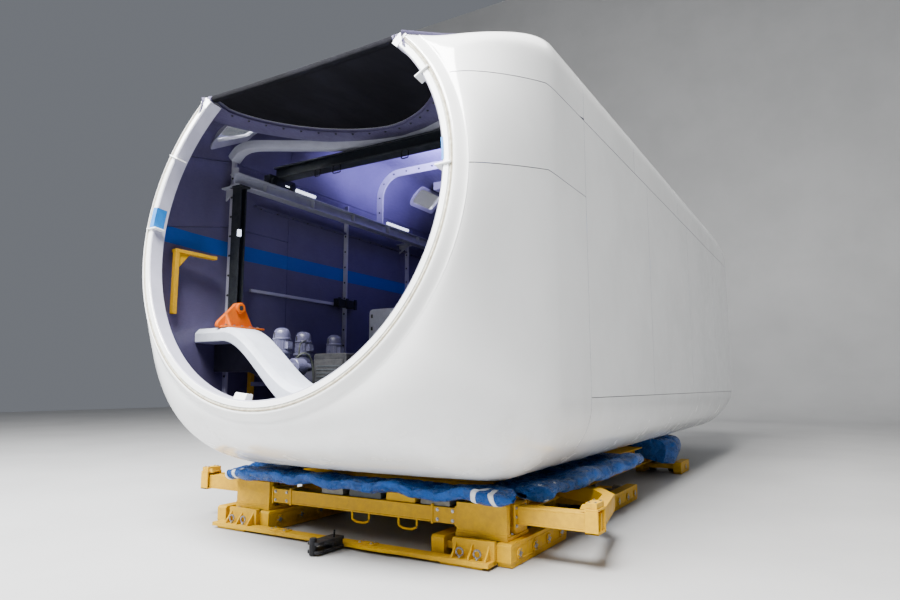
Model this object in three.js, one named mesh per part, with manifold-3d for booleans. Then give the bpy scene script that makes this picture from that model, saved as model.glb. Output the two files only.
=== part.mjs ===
// Wind turbine nacelle housing on its yellow transport frame. Millimetres, +Z up, +X to the right
// when looking at the rear from the open front, which faces -Y.
// In this file Y is counted from the middle of the front ring towards the rear. The last lines move
// everything together, so that the origin is on the floor under the middle of the outline.
import * as THREE from "three";
import { mergeVertices } from "three/addons/utils/BufferGeometryUtils.js";
import Module from "manifold-3d";

const wasm = await Module();
wasm.setup();

// Housing: a rounded box, open at the front through a tilted ring.
const HALF_WIDTH = 2200;
const BOTTOM_Z = 700;
const ROOF_Z = 5250;
const BOTTOM_CORNER = 750;
const TOP_CORNER = 500;
const REAR_Y = 13300;
const WALL = 40;

// Front ring: circle in a plane whose top leans to the rear, cut flat where the roof cover starts.
const RING_Z = 3274;
const RING_INNER = 1810;
const RING_OUTER = 1870;
const RING_TILT = 0.12;
const RING_DEPTH = 130;
const FLARE_RADIUS = 2000;
const FLARE_BACK = 80;
const DECK_Z = 4690;
const DECK_WALL = 45;
const RING_TOP_Z = DECK_Z + 25;
const BOW_STEPS = 8;
const SIDE_BLEND_Y = 1500;
const ROOF_BLEND_Y = 2000;
const BOW_POWER = 1.6;

// Roof opening behind the ring: half width, where its round end starts, and how far back it goes.
const HATCH_HALF = 1280;
const HATCH_FRONT_HALF = 1180;
const HATCH_FRONT_Y = 170;
const HATCH_ROUND_Y = 500;
const HATCH_END_Y = 1790;
const HATCH_POWER = 1.7;
const HATCH_FLANGE = 410;
const HATCH_FRONT_FLANGE = 110;
const WELL_LIP_Z = 4550;
const WELL_LIP_FRONT_Y = 900;
const COVER_MARGIN = 85;
const COVER_THICK = 6;
const COVER_FRONT_Y = 215;
const COVER_RAIL_Y = [175, 235];

// Joints between the panels.
const SEAM = 0.3;
const BAY_Y = [2340, 5060, 7900, 10600];
const ROOF_JOINT_Y = [2340, 4400, 7200, 10000];
const BOTTOM_JOINT_Z = 1480;
const ROOF_JOINT_Z = 4470;
const FRONT_JOINT_BEND_Y = 1300;
const LOWER_JOINT_Z = [3330, 3610];
const UPPER_JOINT_Z = [4160, 4470];

// Rear end: how far each face draws in, and where it starts to.
const REAR_SIDE_IN = 300;
const REAR_SIDE_Y = 12600;
const REAR_TOP_IN = 560;
const REAR_TOP_Y = 11500;
const REAR_BOTTOM_IN = 480;
const REAR_BOTTOM_Y = 11300;
const BEHIND_REAR_Y = REAR_Y + 100;

// Inside: bed frame, yaw drives, crane.
const YAW_Y = 3700;
const YAW_DRUM_RADIUS = 1230;
const YAW_DRUM_WALL = 120;
const YAW_CLEARANCE = 10;
const YAW_SIDES = 32;
const BED_FRONT_Y = 800;
const BED_REAR_Y = 5600;
const BED_THICK = 170;
const BED_EDGE_Z = 2270;
const BED_MIDDLE_Z = 1580;
const BED_DROP = 330;
const YOKE_REAR_Y = 1250;
const YOKE_WEB = 120;
const SHOULDER_X = 1640;
const SHOULDER_REAR_Y = 1450;
const DRIVE_RADIUS = 100;
const DRIVE_X = 1310;
const DRIVE_Y = [1420, 1880, 2460];
const DRIVE_TOP_Z = 2280;
const DRIVE_FOOT = 35;
const STRIP_THICK = 25;
const STRIP_OVERLAP = 5;
const LUG_X = -1720;
const LUG_HALF_THICK = 25;
const LUG_Y = [805, 1360];
const LUG_EDGE = [[1330, 2310], [1185, 2560], [1070, 2575], [805, 2320]];
const LUG_BOSS_Y = 1120;
const LUG_BOSS_Z = 2520;
const LUG_BOSS_RADIUS = 65;
const LUG_BOSS_LENGTH = 110;
const LUG_FOOT_X = [-1745, -1605];
const LUG_FOOT_Y = [850, 1440];
const LUG_FOOT_THICK = 25;
const LUG_GUSSET_Y = [910, 950];
const LUG_GUSSET_TOP_Z = 2440;
const RAIL_X = 1900;
const RAIL_HALF_WIDTH = 80;
const RAIL_Z = [4080, 4230];
const RAIL_Y = [1130, 10400];
const BRIDGE_Y = 1900;
const BRIDGE_HALF_DEPTH = 90;
const BRIDGE_Z = [4350, 4510];
const RAIL_BRACKET_HALF = 100;
const SHOE_HALF_WIDTH = 60;
const SHOE_HALF_LENGTH = 240;
const SHOE_CLEARANCE = 0.5;
const SHOE_OVERLAP = 40;
const COLUMN_X = 1900;
const COLUMN_Y = 1225;
const COLUMN_HALF_WIDTH = 75;
const COLUMN_HALF_DEPTH = 50;
const COLUMN_PLATE = 12;

// Transport frame. The left trucks are copies of the right ones, moved across by TRUCK_SHIFT.
const TRUCK_X = [990, 1820];
const TRUCK_SHIFT = -2970;
const TRUCK_SIDE = 140;
const TRUCK_WEB_IN = 60;
const TRUCK_TOP_Z = 210;
const TRUCK_FRONT_Y = [1170, 2540];
const TRUCK_MIDDLE_Y = [3920, 5370];
const TRUCK_REAR_Y = [8380, 9130];
const DECK_TOP_Z = 520;
const PEDESTAL_X = [1215, 1755];
const PEDESTAL_Y = [1235, 1700];
const PEDESTAL_STEP = 10;
const STEP_TOP_Z = 245;
const STEP_OVERLAP = 20;
const SIDE_BEAM_X = [1000, 1300];
const SEAT_Z = [340, DECK_TOP_Z];
const CROSS_BEAM_DEPTH = 220;
const FRONT_BEAM_Y = 1270;
const FRONT_BEAM_Z = [300, 450];
const REAR_BEAM_Y = 8530;
const YAW_SEAT_HALF = 1200;
const ARM_END_X = 2440;
const ARM_Y = [1410, 1560];
const ARM_Z = [340, 500];
const POST_X = [2430, 2550];
const POST_Y = [1370, 1590];
const POST_Z = [330, 595];
const RETURN_ARM_START = [[2430, 1480], [2545, 1480], [2340, 2560], [2120, 2860]];
const RETURN_ARM_END_Y = [3300, 3150];
const RETURN_ARM_INSIDE = [[2040, 2760], [2230, 2500]];
const TIE_BAR_X = [-1860, 1680];
const TIE_BAR_Y = [1000, 1140];
const TIE_BAR_Z = [25, 65];
const TIE_OVERLAP = 20;
const TIE_FOOT_X = [1180, 1610];
const TIE_FOOT_Y = [1015, 1110];
const TIE_FOOT_Z = 5;
const TIE_BACK_X = [1250, 1680];
const TIE_BACK_TOP_Z = 225;
const JAW_HALF = 75;
const JAW_LENGTH = 380;
const JAW_Z = [20, 130];
const CLAMP_PIN_X = 0;
const CLAMP_PIN_Y = 600;
const CLAMP_PIN_RADIUS = 35;
const CLAMP_PIN_SIDES = 12;
const CLAMP_PIN_Z = [5, 170];

// Sections of the folded sheets: the front one in Y and Z, the others in X and Z.
const TARP_LOW_Z = DECK_TOP_Z + SEAM;
const TARP_TOP_Z = 687;
const TARP_FRONT_X = [-1850, 1850];
const TARP_FRONT_OUTLINE = [
  [1000, 690], [1020, 600], [1090, 545], [1240, TARP_LOW_Z], [1440, TARP_LOW_Z], [1440, TARP_TOP_Z],
  [1200, 700], [1060, 725],
];
const TARP_SIDE_Y = [1560, 5200];
const TARP_SIDE_OUTLINE = [
  [1260, TARP_LOW_Z], [1900, TARP_LOW_Z], [2080, 560], [2150, 660], [2050, 780], [1900, 765], [1760, 720],
  [1600, TARP_TOP_Z], [1260, TARP_TOP_Z],
];
const TARP_REAR_Y = [7700, 9100];
const TARP_REAR_LOW_Z = TRUCK_TOP_Z + SEAM;
const TARP_REAR_INNER_X = SIDE_BEAM_X[1] + SEAM;
const TARP_REAR_OUTLINE = [
  [TARP_REAR_INNER_X, TARP_LOW_Z], [TARP_REAR_INNER_X, TARP_REAR_LOW_Z], [1820, TARP_REAR_LOW_Z], [1900, 420],
  [1850, 640], [1600, TARP_TOP_Z],
];

const COLOURS = {
  shell: [0xe9e9e6, 0.3, 0.0],
  glass: [0xb9c4cc, 0.15, 0.0],
  cover: [0x101114, 0.8, 0.0],
  casting: [0xb4bdc8, 0.5, 0.2],
  orange: [0xe06a1c, 0.5, 0.1],
  motor: [0xe8e8ea, 0.4, 0.1],
  steel: [0x39424a, 0.5, 0.5],
  cabinet: [0xdfe2e6, 0.5, 0.1],
  black: [0x1c1d20, 0.6, 0.2],
  yellow: [0xe2a90f, 0.45, 0.2],
  tarp: [0x0b5fae, 0.5, 0.0],
};

const nacelle = new THREE.Group();

// Closed geometry to a solid, and back.
function solidOf(geometry) {
  const bare = geometry.index ? geometry.toNonIndexed() : geometry.clone();
  bare.deleteAttribute("normal");
  bare.deleteAttribute("uv");
  const merged = mergeVertices(bare, 1e-3);
  return new wasm.Manifold(
    new wasm.Mesh({
      numProp: 3,
      vertProperties: merged.attributes.position.array,
      triVerts: new Uint32Array(merged.index.array),
    }),
  );
}

function geometryOf(solid) {
  const mesh = solid.getMesh();
  const geometry = new THREE.BufferGeometry();
  geometry.setAttribute("position", new THREE.BufferAttribute(mesh.vertProperties, 3));
  geometry.setIndex(new THREE.BufferAttribute(mesh.triVerts, 1));
  return geometry;
}

function material(kind) {
  const [color, roughness, metalness] = COLOURS[kind];
  return new THREE.MeshStandardMaterial({ color, roughness, metalness });
}

function place(name, solid, kind) {
  const mesh = new THREE.Mesh(geometryOf(solid), material(kind));
  mesh.name = name;
  nacelle.add(mesh);
}

const join = (...solids) => solids.reduce((all, one) => all.add(one));

// The stretch between two distances from the middle, on the left (sign -1) or on the right (sign 1).
const span = (sign, a, b) => [Math.min(sign * a, sign * b), Math.max(sign * a, sign * b)];

const about = (middle, half) => [middle - half, middle + half];

function box(x, y, z) {
  const shape = new THREE.BoxGeometry(x[1] - x[0], y[1] - y[0], z[1] - z[0]);
  shape.translate((x[0] + x[1]) / 2, (y[0] + y[1]) / 2, (z[0] + z[1]) / 2);
  return solidOf(shape);
}

function upright(radius, x, y, z, sides) {
  const shape = new THREE.CylinderGeometry(radius, radius, z[1] - z[0], sides);
  shape.rotateX(Math.PI / 2);
  shape.translate(x, y, (z[0] + z[1]) / 2);
  return solidOf(shape);
}

// A profile drawn in Y and Z, carried along X, and one drawn in X and Z, carried along Y.
function alongX(profile, x) {
  const outline = new THREE.Shape(profile.map(([y, z]) => new THREE.Vector2(y, z)));
  const shape = new THREE.ExtrudeGeometry(outline, { depth: x[1] - x[0], bevelEnabled: false });
  shape.applyMatrix4(new THREE.Matrix4().set(0, 0, 1, x[0], 1, 0, 0, 0, 0, 1, 0, 0, 0, 0, 0, 1));
  return solidOf(shape);
}

function alongY(profile, y) {
  const outline = new THREE.Shape(profile.map(([x, z]) => new THREE.Vector2(x, z)));
  const shape = new THREE.ExtrudeGeometry(outline, { depth: y[1] - y[0], bevelEnabled: false });
  shape.applyMatrix4(new THREE.Matrix4().set(1, 0, 0, 0, 0, 0, -1, y[1], 0, 1, 0, 0, 0, 0, 0, 1));
  return solidOf(shape);
}

function alongZ(profile, z) {
  const outline = new THREE.Shape(profile.map(([x, y]) => new THREE.Vector2(x, y)));
  const shape = new THREE.ExtrudeGeometry(outline, { depth: z[1] - z[0], bevelEnabled: false });
  shape.translate(0, 0, z[0]);
  return solidOf(shape);
}

// A row of closed rings, each with the same number of points, skinned and capped at both ends.
function loft(rings) {
  const count = rings[0].length;
  const points = rings.flat();
  const faces = [];
  for (let r = 0; r + 1 < rings.length; r += 1) {
    for (let i = 0; i < count; i += 1) {
      const a = r * count + i;
      const b = r * count + ((i + 1) % count);
      faces.push(a, a + count, b, b, a + count, b + count);
    }
  }
  const last = (rings.length - 1) * count;
  for (const [start, turned] of [[0, false], [last, true]]) {
    const middle = new THREE.Vector3();
    for (let i = 0; i < count; i += 1) middle.addScaledVector(points[start + i], 1 / count);
    points.push(middle);
    for (let i = 0; i < count; i += 1) {
      const edge = [start + i, start + ((i + 1) % count)];
      faces.push(points.length - 1, ...(turned ? edge.reverse() : edge));
    }
  }
  const geometry = new THREE.BufferGeometry().setFromPoints(points);
  geometry.setIndex(faces);
  const skinned = solidOf(geometry);
  if (skinned.volume() > 0) return skinned;
  for (let i = 0; i < faces.length; i += 3) [faces[i + 1], faces[i + 2]] = [faces[i + 2], faces[i + 1]];
  geometry.setIndex(faces);
  return solidOf(geometry);
}

// Points round a rounded box, clockwise from the middle of the roof, seen from the front.
function boxOutline(half, bottom, top, bottomCorner, topCorner) {
  const right = [];
  const flat = 5;
  const arc = 5;
  const side = 8;
  for (let i = 0; i < flat; i += 1) right.push([((half - topCorner) * i) / flat, top]);
  for (let i = 0; i <= arc; i += 1) {
    const turn = ((Math.PI / 2) * i) / arc;
    right.push([half - topCorner + topCorner * Math.sin(turn), top - topCorner + topCorner * Math.cos(turn)]);
  }
  const sideTop = top - topCorner;
  const sideBottom = bottom + bottomCorner;
  for (let i = 1; i < side; i += 1) right.push([half, sideTop + ((sideBottom - sideTop) * i) / side]);
  for (let i = 0; i <= arc; i += 1) {
    const turn = ((Math.PI / 2) * i) / arc;
    const x = half - bottomCorner + bottomCorner * Math.cos(turn);
    right.push([x, sideBottom - bottomCorner * Math.sin(turn)]);
  }
  for (let i = 1; i < flat; i += 1) right.push([((half - bottomCorner) * (flat - i)) / flat, bottom]);
  const left = right.slice(1).reverse().map(([x, z]) => [-x, z]);
  return [...right, [0, bottom], ...left];
}

const drawnIn = (y, start, depth) => {
  const share = Math.min(Math.max((y - start) / (REAR_Y - start), 0), 1);
  return depth * (1 - Math.sqrt(1 - share * share));
};

// The housing's section at a distance y from the ring, drawn in by the wall for its inner face.
function section(y, wall) {
  const side = drawnIn(y, REAR_SIDE_Y, REAR_SIDE_IN);
  const top = drawnIn(y, REAR_TOP_Y, REAR_TOP_IN);
  const low = drawnIn(y, REAR_BOTTOM_Y, REAR_BOTTOM_IN);
  return boxOutline(
    HALF_WIDTH - side - wall,
    BOTTOM_Z + low + wall,
    ROOF_Z - top - wall,
    BOTTOM_CORNER - wall,
    TOP_CORNER - wall,
  );
}

const sectionRing = (y, wall) => section(y, wall).map(([x, z]) => new THREE.Vector3(x, y, z));

// Directions from the middle of the ring to the points of the full section.
const ANGLES = section(BAY_Y[0], 0).map(([x, z]) => Math.atan2(x, z - RING_Z));

// A point of the ring at an angle from the top, at a radius, a distance behind the ring's plane, and
// cut flat at the height of the roof deck.
function ringPoint(angle, radius, back, flatZ) {
  const flat = (flatZ - RING_Z) / Math.cos(RING_TILT);
  const reach = Math.cos(angle) > 0 ? Math.min(radius, flat / Math.cos(angle)) : radius;
  const up = reach * Math.cos(angle);
  return new THREE.Vector3(
    reach * Math.sin(angle),
    up * Math.sin(RING_TILT) + back * Math.cos(RING_TILT),
    RING_Z + up * Math.cos(RING_TILT) - back * Math.sin(RING_TILT),
  );
}

const smooth = (t) => t * t * (3 - 2 * t);
const ROOF_ANGLE = 0.68;
const SIDE_ANGLE = 0.98;

// Rings from the flare to the full section: the bow swells outwards first at the sides and the chin,
// and the roof rises in an S.
function bow(radius, back, flatZ, wall) {
  const full = section(BAY_Y[0], wall);
  const rings = [];
  for (let s = 0; s <= BOW_STEPS; s += 1) {
    const along = 1 - Math.cos(((Math.PI / 2) * s) / BOW_STEPS);
    const swell = (1 - (1 - along) ** BOW_POWER) ** (1 / BOW_POWER);
    rings.push(
      ANGLES.map((angle, i) => {
        const share = (Math.abs(angle) - ROOF_ANGLE) / (SIDE_ANGLE - ROOF_ANGLE);
        const roofness = 1 - smooth(Math.min(Math.max(share, 0), 1));
        const out = swell + (smooth(along) - swell) * roofness;
        const from = ringPoint(angle, radius, back, flatZ);
        const endY = SIDE_BLEND_Y + (ROOF_BLEND_Y - SIDE_BLEND_Y) * roofness;
        return new THREE.Vector3(
          from.x + (full[i][0] - from.x) * out,
          from.y + (endY - from.y) * along,
          from.z + (full[i][1] - from.z) * out,
        );
      }),
    );
  }
  return rings;
}

const ringAt = (radius, back, flatZ) => ANGLES.map((angle) => ringPoint(angle, radius, back, flatZ));
const REAR_STATIONS = [11300, 11900, 12350, 12700, 12950, 13150, 13250, REAR_Y];

function outerBody(inset) {
  return loft([
    ringAt(RING_OUTER - inset, inset, RING_TOP_Z),
    ...bow(FLARE_RADIUS - inset, FLARE_BACK + inset, RING_TOP_Z, inset),
    sectionRing(BAY_Y[0], inset),
    ...REAR_STATIONS.map((y) => sectionRing(y, inset)),
  ]);
}

function innerBody(wall) {
  const beyond = 60;
  const clear = FLARE_RADIUS - wall;
  return loft([
    ringAt(RING_INNER, -beyond, DECK_Z - DECK_WALL),
    ringAt(RING_INNER, RING_DEPTH, DECK_Z - DECK_WALL),
    ...bow(clear, RING_DEPTH + 5, DECK_Z - DECK_WALL, wall),
    sectionRing(BAY_Y[0], wall),
    ...REAR_STATIONS.map((y) => sectionRing(y, wall)),
    sectionRing(REAR_Y, wall).map((p) => p.setY(REAR_Y + beyond)),
  ]);
}

// The roof opening's outline, widened by one margin round its rear and by another at its front.
function hatchOutline(margin, frontMargin = margin) {
  const half = HATCH_HALF + margin;
  const front = -900;
  const depth = HATCH_END_Y + margin - HATCH_ROUND_Y;
  const right = [[HATCH_FRONT_HALF + frontMargin, front], [HATCH_FRONT_HALF + frontMargin, HATCH_FRONT_Y]];
  const steps = 8;
  for (let i = 0; i < steps; i += 1) {
    const turn = ((Math.PI / 2) * i) / steps;
    const x = half * Math.cos(turn) ** (2 / HATCH_POWER);
    right.push([x, HATCH_ROUND_Y + depth * Math.sin(turn) ** (2 / HATCH_POWER)]);
  }
  const left = [...right].reverse().map(([x, y]) => [-x, y]);
  return [...right, [0, HATCH_ROUND_Y + depth], ...left];
}

const FAR = 6000;
const outer = outerBody(0);
const justInside = outerBody(3);
const hull = outer.subtract(innerBody(WALL));
const room = innerBody(WALL + 0.5);
const aboveDeck = [DECK_Z, FAR];
const belowDeck = [DECK_Z - DECK_WALL - 4, FAR];

// The front roof has a sunk deck round the opening, with a wall that rises to the roof behind it and
// a lip under that wall.
function frontHull() {
  const hole = alongZ(hatchOutline(0), belowDeck);
  const wellOutline = hatchOutline(HATCH_FLANGE, HATCH_FRONT_FLANGE);
  const wallOutline = hatchOutline(HATCH_FLANGE + WALL, HATCH_FRONT_FLANGE + WALL);
  const well = alongZ(wellOutline, aboveDeck);
  const surround = alongZ(wallOutline, belowDeck).intersect(justInside);
  const lipZ = [WELL_LIP_Z, DECK_Z - DECK_WALL];
  const lip = alongZ(wallOutline, lipZ).subtract(alongZ(wellOutline, [0, FAR]));
  const rearLip = lip.intersect(justInside).intersect(box([-FAR, FAR], [WELL_LIP_FRONT_Y, FAR], [0, FAR]));
  return join(hull, surround, rearLip).subtract(well).subtract(hole);
}

const front = frontHull();

const gap = SEAM / 2;
const LEFT = [-FAR, -gap];
const RIGHT = [gap, FAR];
const AHEAD_OF_RING_Y = -2000;
const FRONT_END = [AHEAD_OF_RING_Y, BAY_Y[0] - gap];

// A joint of the front panels, as a line in Y and Z that bends level where it reaches the side.
const jointLine = ([ringZ, sideZ], shift) => [
  [FRONT_END[0], ringZ + shift],
  [0, ringZ + shift],
  [FRONT_JOINT_BEND_Y, sideZ + shift],
  [FRONT_END[1], sideZ + shift],
];

function frontBand(low, high) {
  return [...low, ...high.reverse()];
}

const floorLine = [[FRONT_END[0], -FAR], [FRONT_END[1], -FAR]];
const skyLine = [[FRONT_END[0], FAR], [FRONT_END[1], FAR]];

function makeFrontPanels() {
  const lower = frontBand(floorLine, jointLine(LOWER_JOINT_Z, -gap));
  const middle = frontBand(jointLine(LOWER_JOINT_Z, gap), jointLine(UPPER_JOINT_Z, -gap));
  const upper = frontBand(jointLine(UPPER_JOINT_Z, gap), skyLine);
  for (const [side, x] of [["left", LEFT], ["right", RIGHT]]) {
    place(`front_lower_${side}`, front.intersect(alongX(lower, x)), "shell");
    place(`front_middle_${side}`, front.intersect(alongX(middle, x)), "shell");
  }
  return front.intersect(alongX(upper, [-FAR, FAR]));
}

// Two shoulder windows on the left, cut square to the slope of the shoulder.
const WINDOW_CUT_DEPTH = 700;
const WINDOWS = [
  { name: "skylight_front", x: -2050, y: 1330, z: 4900, length: 600, width: 270 },
  { name: "skylight_rear", x: -2055, y: 5720, z: 5105, length: 700, width: 330 },
];

function windowBlock(pane, margin) {
  const length = pane.length - 2 * margin;
  const width = pane.width - 2 * margin;
  const shape = new THREE.BoxGeometry(width, length, WINDOW_CUT_DEPTH);
  shape.rotateY(-Math.PI / 4);
  shape.translate(pane.x, pane.y, pane.z);
  return solidOf(shape);
}

function makeRoof(frontRoof) {
  const ends = [...ROOF_JOINT_Y.slice(1), BEHIND_REAR_Y];
  const panels = [["front_roof", frontRoof]];
  ROOF_JOINT_Y.forEach((start, i) => {
    const bay = box([-FAR, FAR], [start + gap, ends[i] - gap], [ROOF_JOINT_Z + gap, FAR]);
    panels.push([`roof_panel_${i + 1}`, hull.intersect(bay)]);
  });
  for (const [name, panel] of panels) {
    const cut = WINDOWS.reduce((rest, pane) => rest.subtract(windowBlock(pane, 0)), panel);
    place(name, cut, "shell");
  }
  for (const pane of WINDOWS) {
    place(pane.name, hull.intersect(windowBlock(pane, 2 * SEAM)), "glass");
  }
}

function makeSides() {
  const ends = [...BAY_Y.slice(1), BEHIND_REAR_Y];
  for (const [side, x] of [["left", LEFT], ["right", RIGHT]]) {
    BAY_Y.forEach((start, i) => {
      const bay = box(x, [start + gap, ends[i] - gap], [BOTTOM_JOINT_Z + gap, ROOF_JOINT_Z - gap]);
      place(`side_panel_${side}_${i + 1}`, hull.intersect(bay), "shell");
    });
  }
}

function makeBottom() {
  const bay = box([-FAR, FAR], [BAY_Y[0] + gap, BEHIND_REAR_Y], [-FAR, BOTTOM_JOINT_Z - gap]);
  const yawHole = upright(YAW_DRUM_RADIUS + YAW_CLEARANCE, 0, YAW_Y, [0, BOTTOM_JOINT_Z], YAW_SIDES);
  place("bottom_shell", hull.intersect(bay).subtract(yawHole), "shell");
}

function makeRearWall() {
  const outline = section(REAR_Y, WALL + SEAM);
  place("rear_wall", alongY(outline, [REAR_Y - WALL, REAR_Y]), "shell");
}

// The sheet over the roof opening, and the rail between the ends of the ring that holds its front.
function makeRoofCover() {
  const low = DECK_Z + SEAM;
  const sheet = alongZ(hatchOutline(COVER_MARGIN), [low, low + COVER_THICK]);
  const ahead = box([-FAR, FAR], [-FAR, COVER_FRONT_Y], [0, FAR]);
  place("roof_cover", sheet.subtract(ahead), "cover");
  const railHalf = HATCH_FRONT_HALF - SEAM;
  place("roof_cover_rail", box([-railHalf, railHalf], COVER_RAIL_Y, [DECK_Z - DECK_WALL, DECK_Z]), "cabinet");
}

// The top of the bed frame: level near the walls, then an S down to its middle, drawn as short flats.
const BED_SHOULDER = 1600;
const BED_STEPS = 10;
const BED_PITCH = BED_SHOULDER / BED_STEPS;
const BED_SAMPLES = Array.from({ length: BED_STEPS + 1 }, (_, i) => BED_PITCH * (BED_STEPS - i));
const BED_SLOPE = 1.35;
const bedCurve = (x) => {
  const share = Math.min((1 - x / BED_SHOULDER) * BED_SLOPE, 1);
  return BED_EDGE_Z - (BED_EDGE_Z - BED_MIDDLE_Z) * smooth(share);
};

function bedTop(x) {
  const at = Math.min(Math.abs(x), BED_SHOULDER) / BED_PITCH;
  const near = Math.floor(at);
  const nearZ = bedCurve(near * BED_PITCH);
  const farZ = bedCurve(Math.min(near + 1, BED_STEPS) * BED_PITCH);
  return nearZ + (farZ - nearZ) * (at - near);
}

// Bed frame: a curved yoke in front with a web down to a lower saddle plate, shoulders for the crane's
// columns, and the round yaw drum that reaches the transport frame.
function makeBedFrame() {
  const edge = HALF_WIDTH - WALL - SEAM;
  const right = [edge, ...BED_SAMPLES].map((x) => [x, bedTop(x)]);
  const left = right.slice(0, -1).reverse().map(([x, z]) => [-x, z]);
  const upper = [...right, ...left];
  const below = (drop) => upper.map(([x, z]) => [x, z - drop]);
  const band = (high, low, y) => alongY([...below(high), ...below(low).reverse()], y);
  const foot = BED_DROP + BED_THICK;
  const yoke = band(0, BED_THICK, [BED_FRONT_Y, YOKE_REAR_Y]);
  const web = band(BED_THICK / 2, foot, [YOKE_REAR_Y - YOKE_WEB, YOKE_REAR_Y]);
  const saddle = band(BED_DROP, foot, [YOKE_REAR_Y - YOKE_WEB / 2, BED_REAR_Y]);
  const shoulderY = [YOKE_REAR_Y - YOKE_WEB, SHOULDER_REAR_Y];
  const shoulderZ = [BED_EDGE_Z - foot, BED_EDGE_Z];
  const shoulders = [-1, 1].map((sign) => box(span(sign, SHOULDER_X, edge), shoulderY, shoulderZ));
  const drumTop = BED_EDGE_Z - BED_DROP - BED_THICK / 2;
  const drum = upright(YAW_DRUM_RADIUS, 0, YAW_Y, [DECK_TOP_Z + SEAM, drumTop], YAW_SIDES);
  const bore = upright(YAW_DRUM_RADIUS - YAW_DRUM_WALL, 0, YAW_Y, [0, FAR], YAW_SIDES);
  const over = alongY([...below(BED_DROP), [-edge, FAR], [edge, FAR]], [0, BED_REAR_Y]);
  const plates = join(yoke, web, saddle, ...shoulders).intersect(room);
  place("bed_frame", join(plates, drum.subtract(bore).subtract(over)), "casting");
}

// A plate that runs to the rear on the left of the yoke, with a round boss at its top, a foot and a gusset.
function makeLiftingLug() {
  const base = BED_EDGE_Z + SEAM;
  const plateX = about(LUG_X, LUG_HALF_THICK);
  const plate = alongX([[LUG_Y[0], base], [LUG_Y[1], base], ...LUG_EDGE], plateX);
  const boss = new THREE.CylinderGeometry(LUG_BOSS_RADIUS, LUG_BOSS_RADIUS, LUG_BOSS_LENGTH, 16);
  boss.rotateZ(Math.PI / 2);
  boss.translate(LUG_X, LUG_BOSS_Y, LUG_BOSS_Z);
  const foot = box(LUG_FOOT_X, LUG_FOOT_Y, [base, base + LUG_FOOT_THICK]);
  const gusset = alongY([[LUG_X, base], [LUG_FOOT_X[1], base], [LUG_X, LUG_GUSSET_TOP_Z]], LUG_GUSSET_Y);
  place("lifting_lug", join(plate, solidOf(boss), foot, gusset), "orange");
}

// Yaw drives: on each side, three domed motors on one mounting strip, on the slope of the saddle plate.
function makeYawDrives() {
  const reach = DRIVE_RADIUS + DRIVE_FOOT;
  const stripX = [DRIVE_X - reach, DRIVE_X + reach];
  const footX = [stripX[1], ...BED_SAMPLES.filter((x) => x > stripX[0] && x < stripX[1]), stripX[0]];
  const base = bedTop(stripX[1]) - BED_DROP + STRIP_THICK;
  const profile = [
    [0, base],
    [DRIVE_RADIUS, base],
    [DRIVE_RADIUS, DRIVE_TOP_Z - 90],
    [DRIVE_RADIUS * 0.8, DRIVE_TOP_Z - 30],
    [DRIVE_RADIUS * 0.4, DRIVE_TOP_Z],
    [0, DRIVE_TOP_Z],
  ].map(([r, z]) => new THREE.Vector2(r, z));
  const stripY = [DRIVE_Y[0] - reach, DRIVE_Y[2] + reach];
  for (const [side, sign] of [["left", -1], ["right", 1]]) {
    const foot = footX.map((x) => [sign * x, bedTop(x) - BED_DROP + SEAM]);
    const top = stripX.map((x) => [sign * x, base + STRIP_OVERLAP]);
    const strip = alongY([...foot, ...top], stripY);
    const motors = DRIVE_Y.map((y) => {
      const shape = new THREE.LatheGeometry(profile, 16);
      shape.rotateX(Math.PI / 2);
      shape.translate(sign * DRIVE_X, y, 0);
      return solidOf(shape);
    });
    place(`yaw_drives_${side}`, join(strip, ...motors), "motor");
  }
}

// Service crane: two rails along the walls, a column under the front of each, and the bridge on them.
function makeCrane() {
  const wallX = HALF_WIDTH - WALL - SEAM;
  const bracketY = [COLUMN_Y, ...BAY_Y.slice(1, 3), RAIL_Y[1] - RAIL_BRACKET_HALF * 2];
  const bracketZ = [RAIL_Z[0], RAIL_Z[0] + RAIL_BRACKET_HALF];
  const footZ = [BED_EDGE_Z + SEAM, RAIL_Z[0] - SEAM];
  for (const [side, sign] of [["left", -1], ["right", 1]]) {
    const rail = box(about(sign * RAIL_X, RAIL_HALF_WIDTH), RAIL_Y, RAIL_Z);
    const bracketX = span(sign, RAIL_X, wallX);
    const brackets = bracketY.map((y) => box(bracketX, about(y, RAIL_BRACKET_HALF), bracketZ));
    place(`crane_rail_${side}`, join(rail, ...brackets).intersect(room), "cabinet");
    const web = box(about(sign * COLUMN_X, COLUMN_PLATE), about(COLUMN_Y, COLUMN_HALF_DEPTH), footZ);
    const flangeX = about(sign * COLUMN_X, COLUMN_HALF_WIDTH);
    const flangeY = about(COLUMN_Y, COLUMN_HALF_DEPTH);
    const flanges = flangeY.map((y) => box(flangeX, about(y, COLUMN_PLATE), footZ));
    place(`crane_column_${side}`, join(web, ...flanges), "steel");
  }
  const reach = RAIL_X + SHOE_HALF_WIDTH;
  const beam = box([-reach, reach], about(BRIDGE_Y, BRIDGE_HALF_DEPTH), BRIDGE_Z);
  const shoeY = about(BRIDGE_Y, SHOE_HALF_LENGTH);
  const shoeZ = [RAIL_Z[1] + SHOE_CLEARANCE, BRIDGE_Z[0] + SHOE_OVERLAP];
  const shoes = [-1, 1].map((sign) => box(span(sign, RAIL_X - SHOE_HALF_WIDTH, reach), shoeY, shoeZ));
  place("crane_bridge", join(beam, ...shoes), "steel");
}

// A block on the left slope of the saddle plate, whose underside follows it.
function onSaddle([near, far], topZ, y) {
  const feet = BED_SAMPLES.filter((x) => x >= near && x <= far).map((x) => [-x, bedTop(x) - BED_DROP + SEAM]);
  return alongY([...feet, [feet.at(-1)[0], topZ], [feet[0][0], topZ]], y);
}

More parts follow.
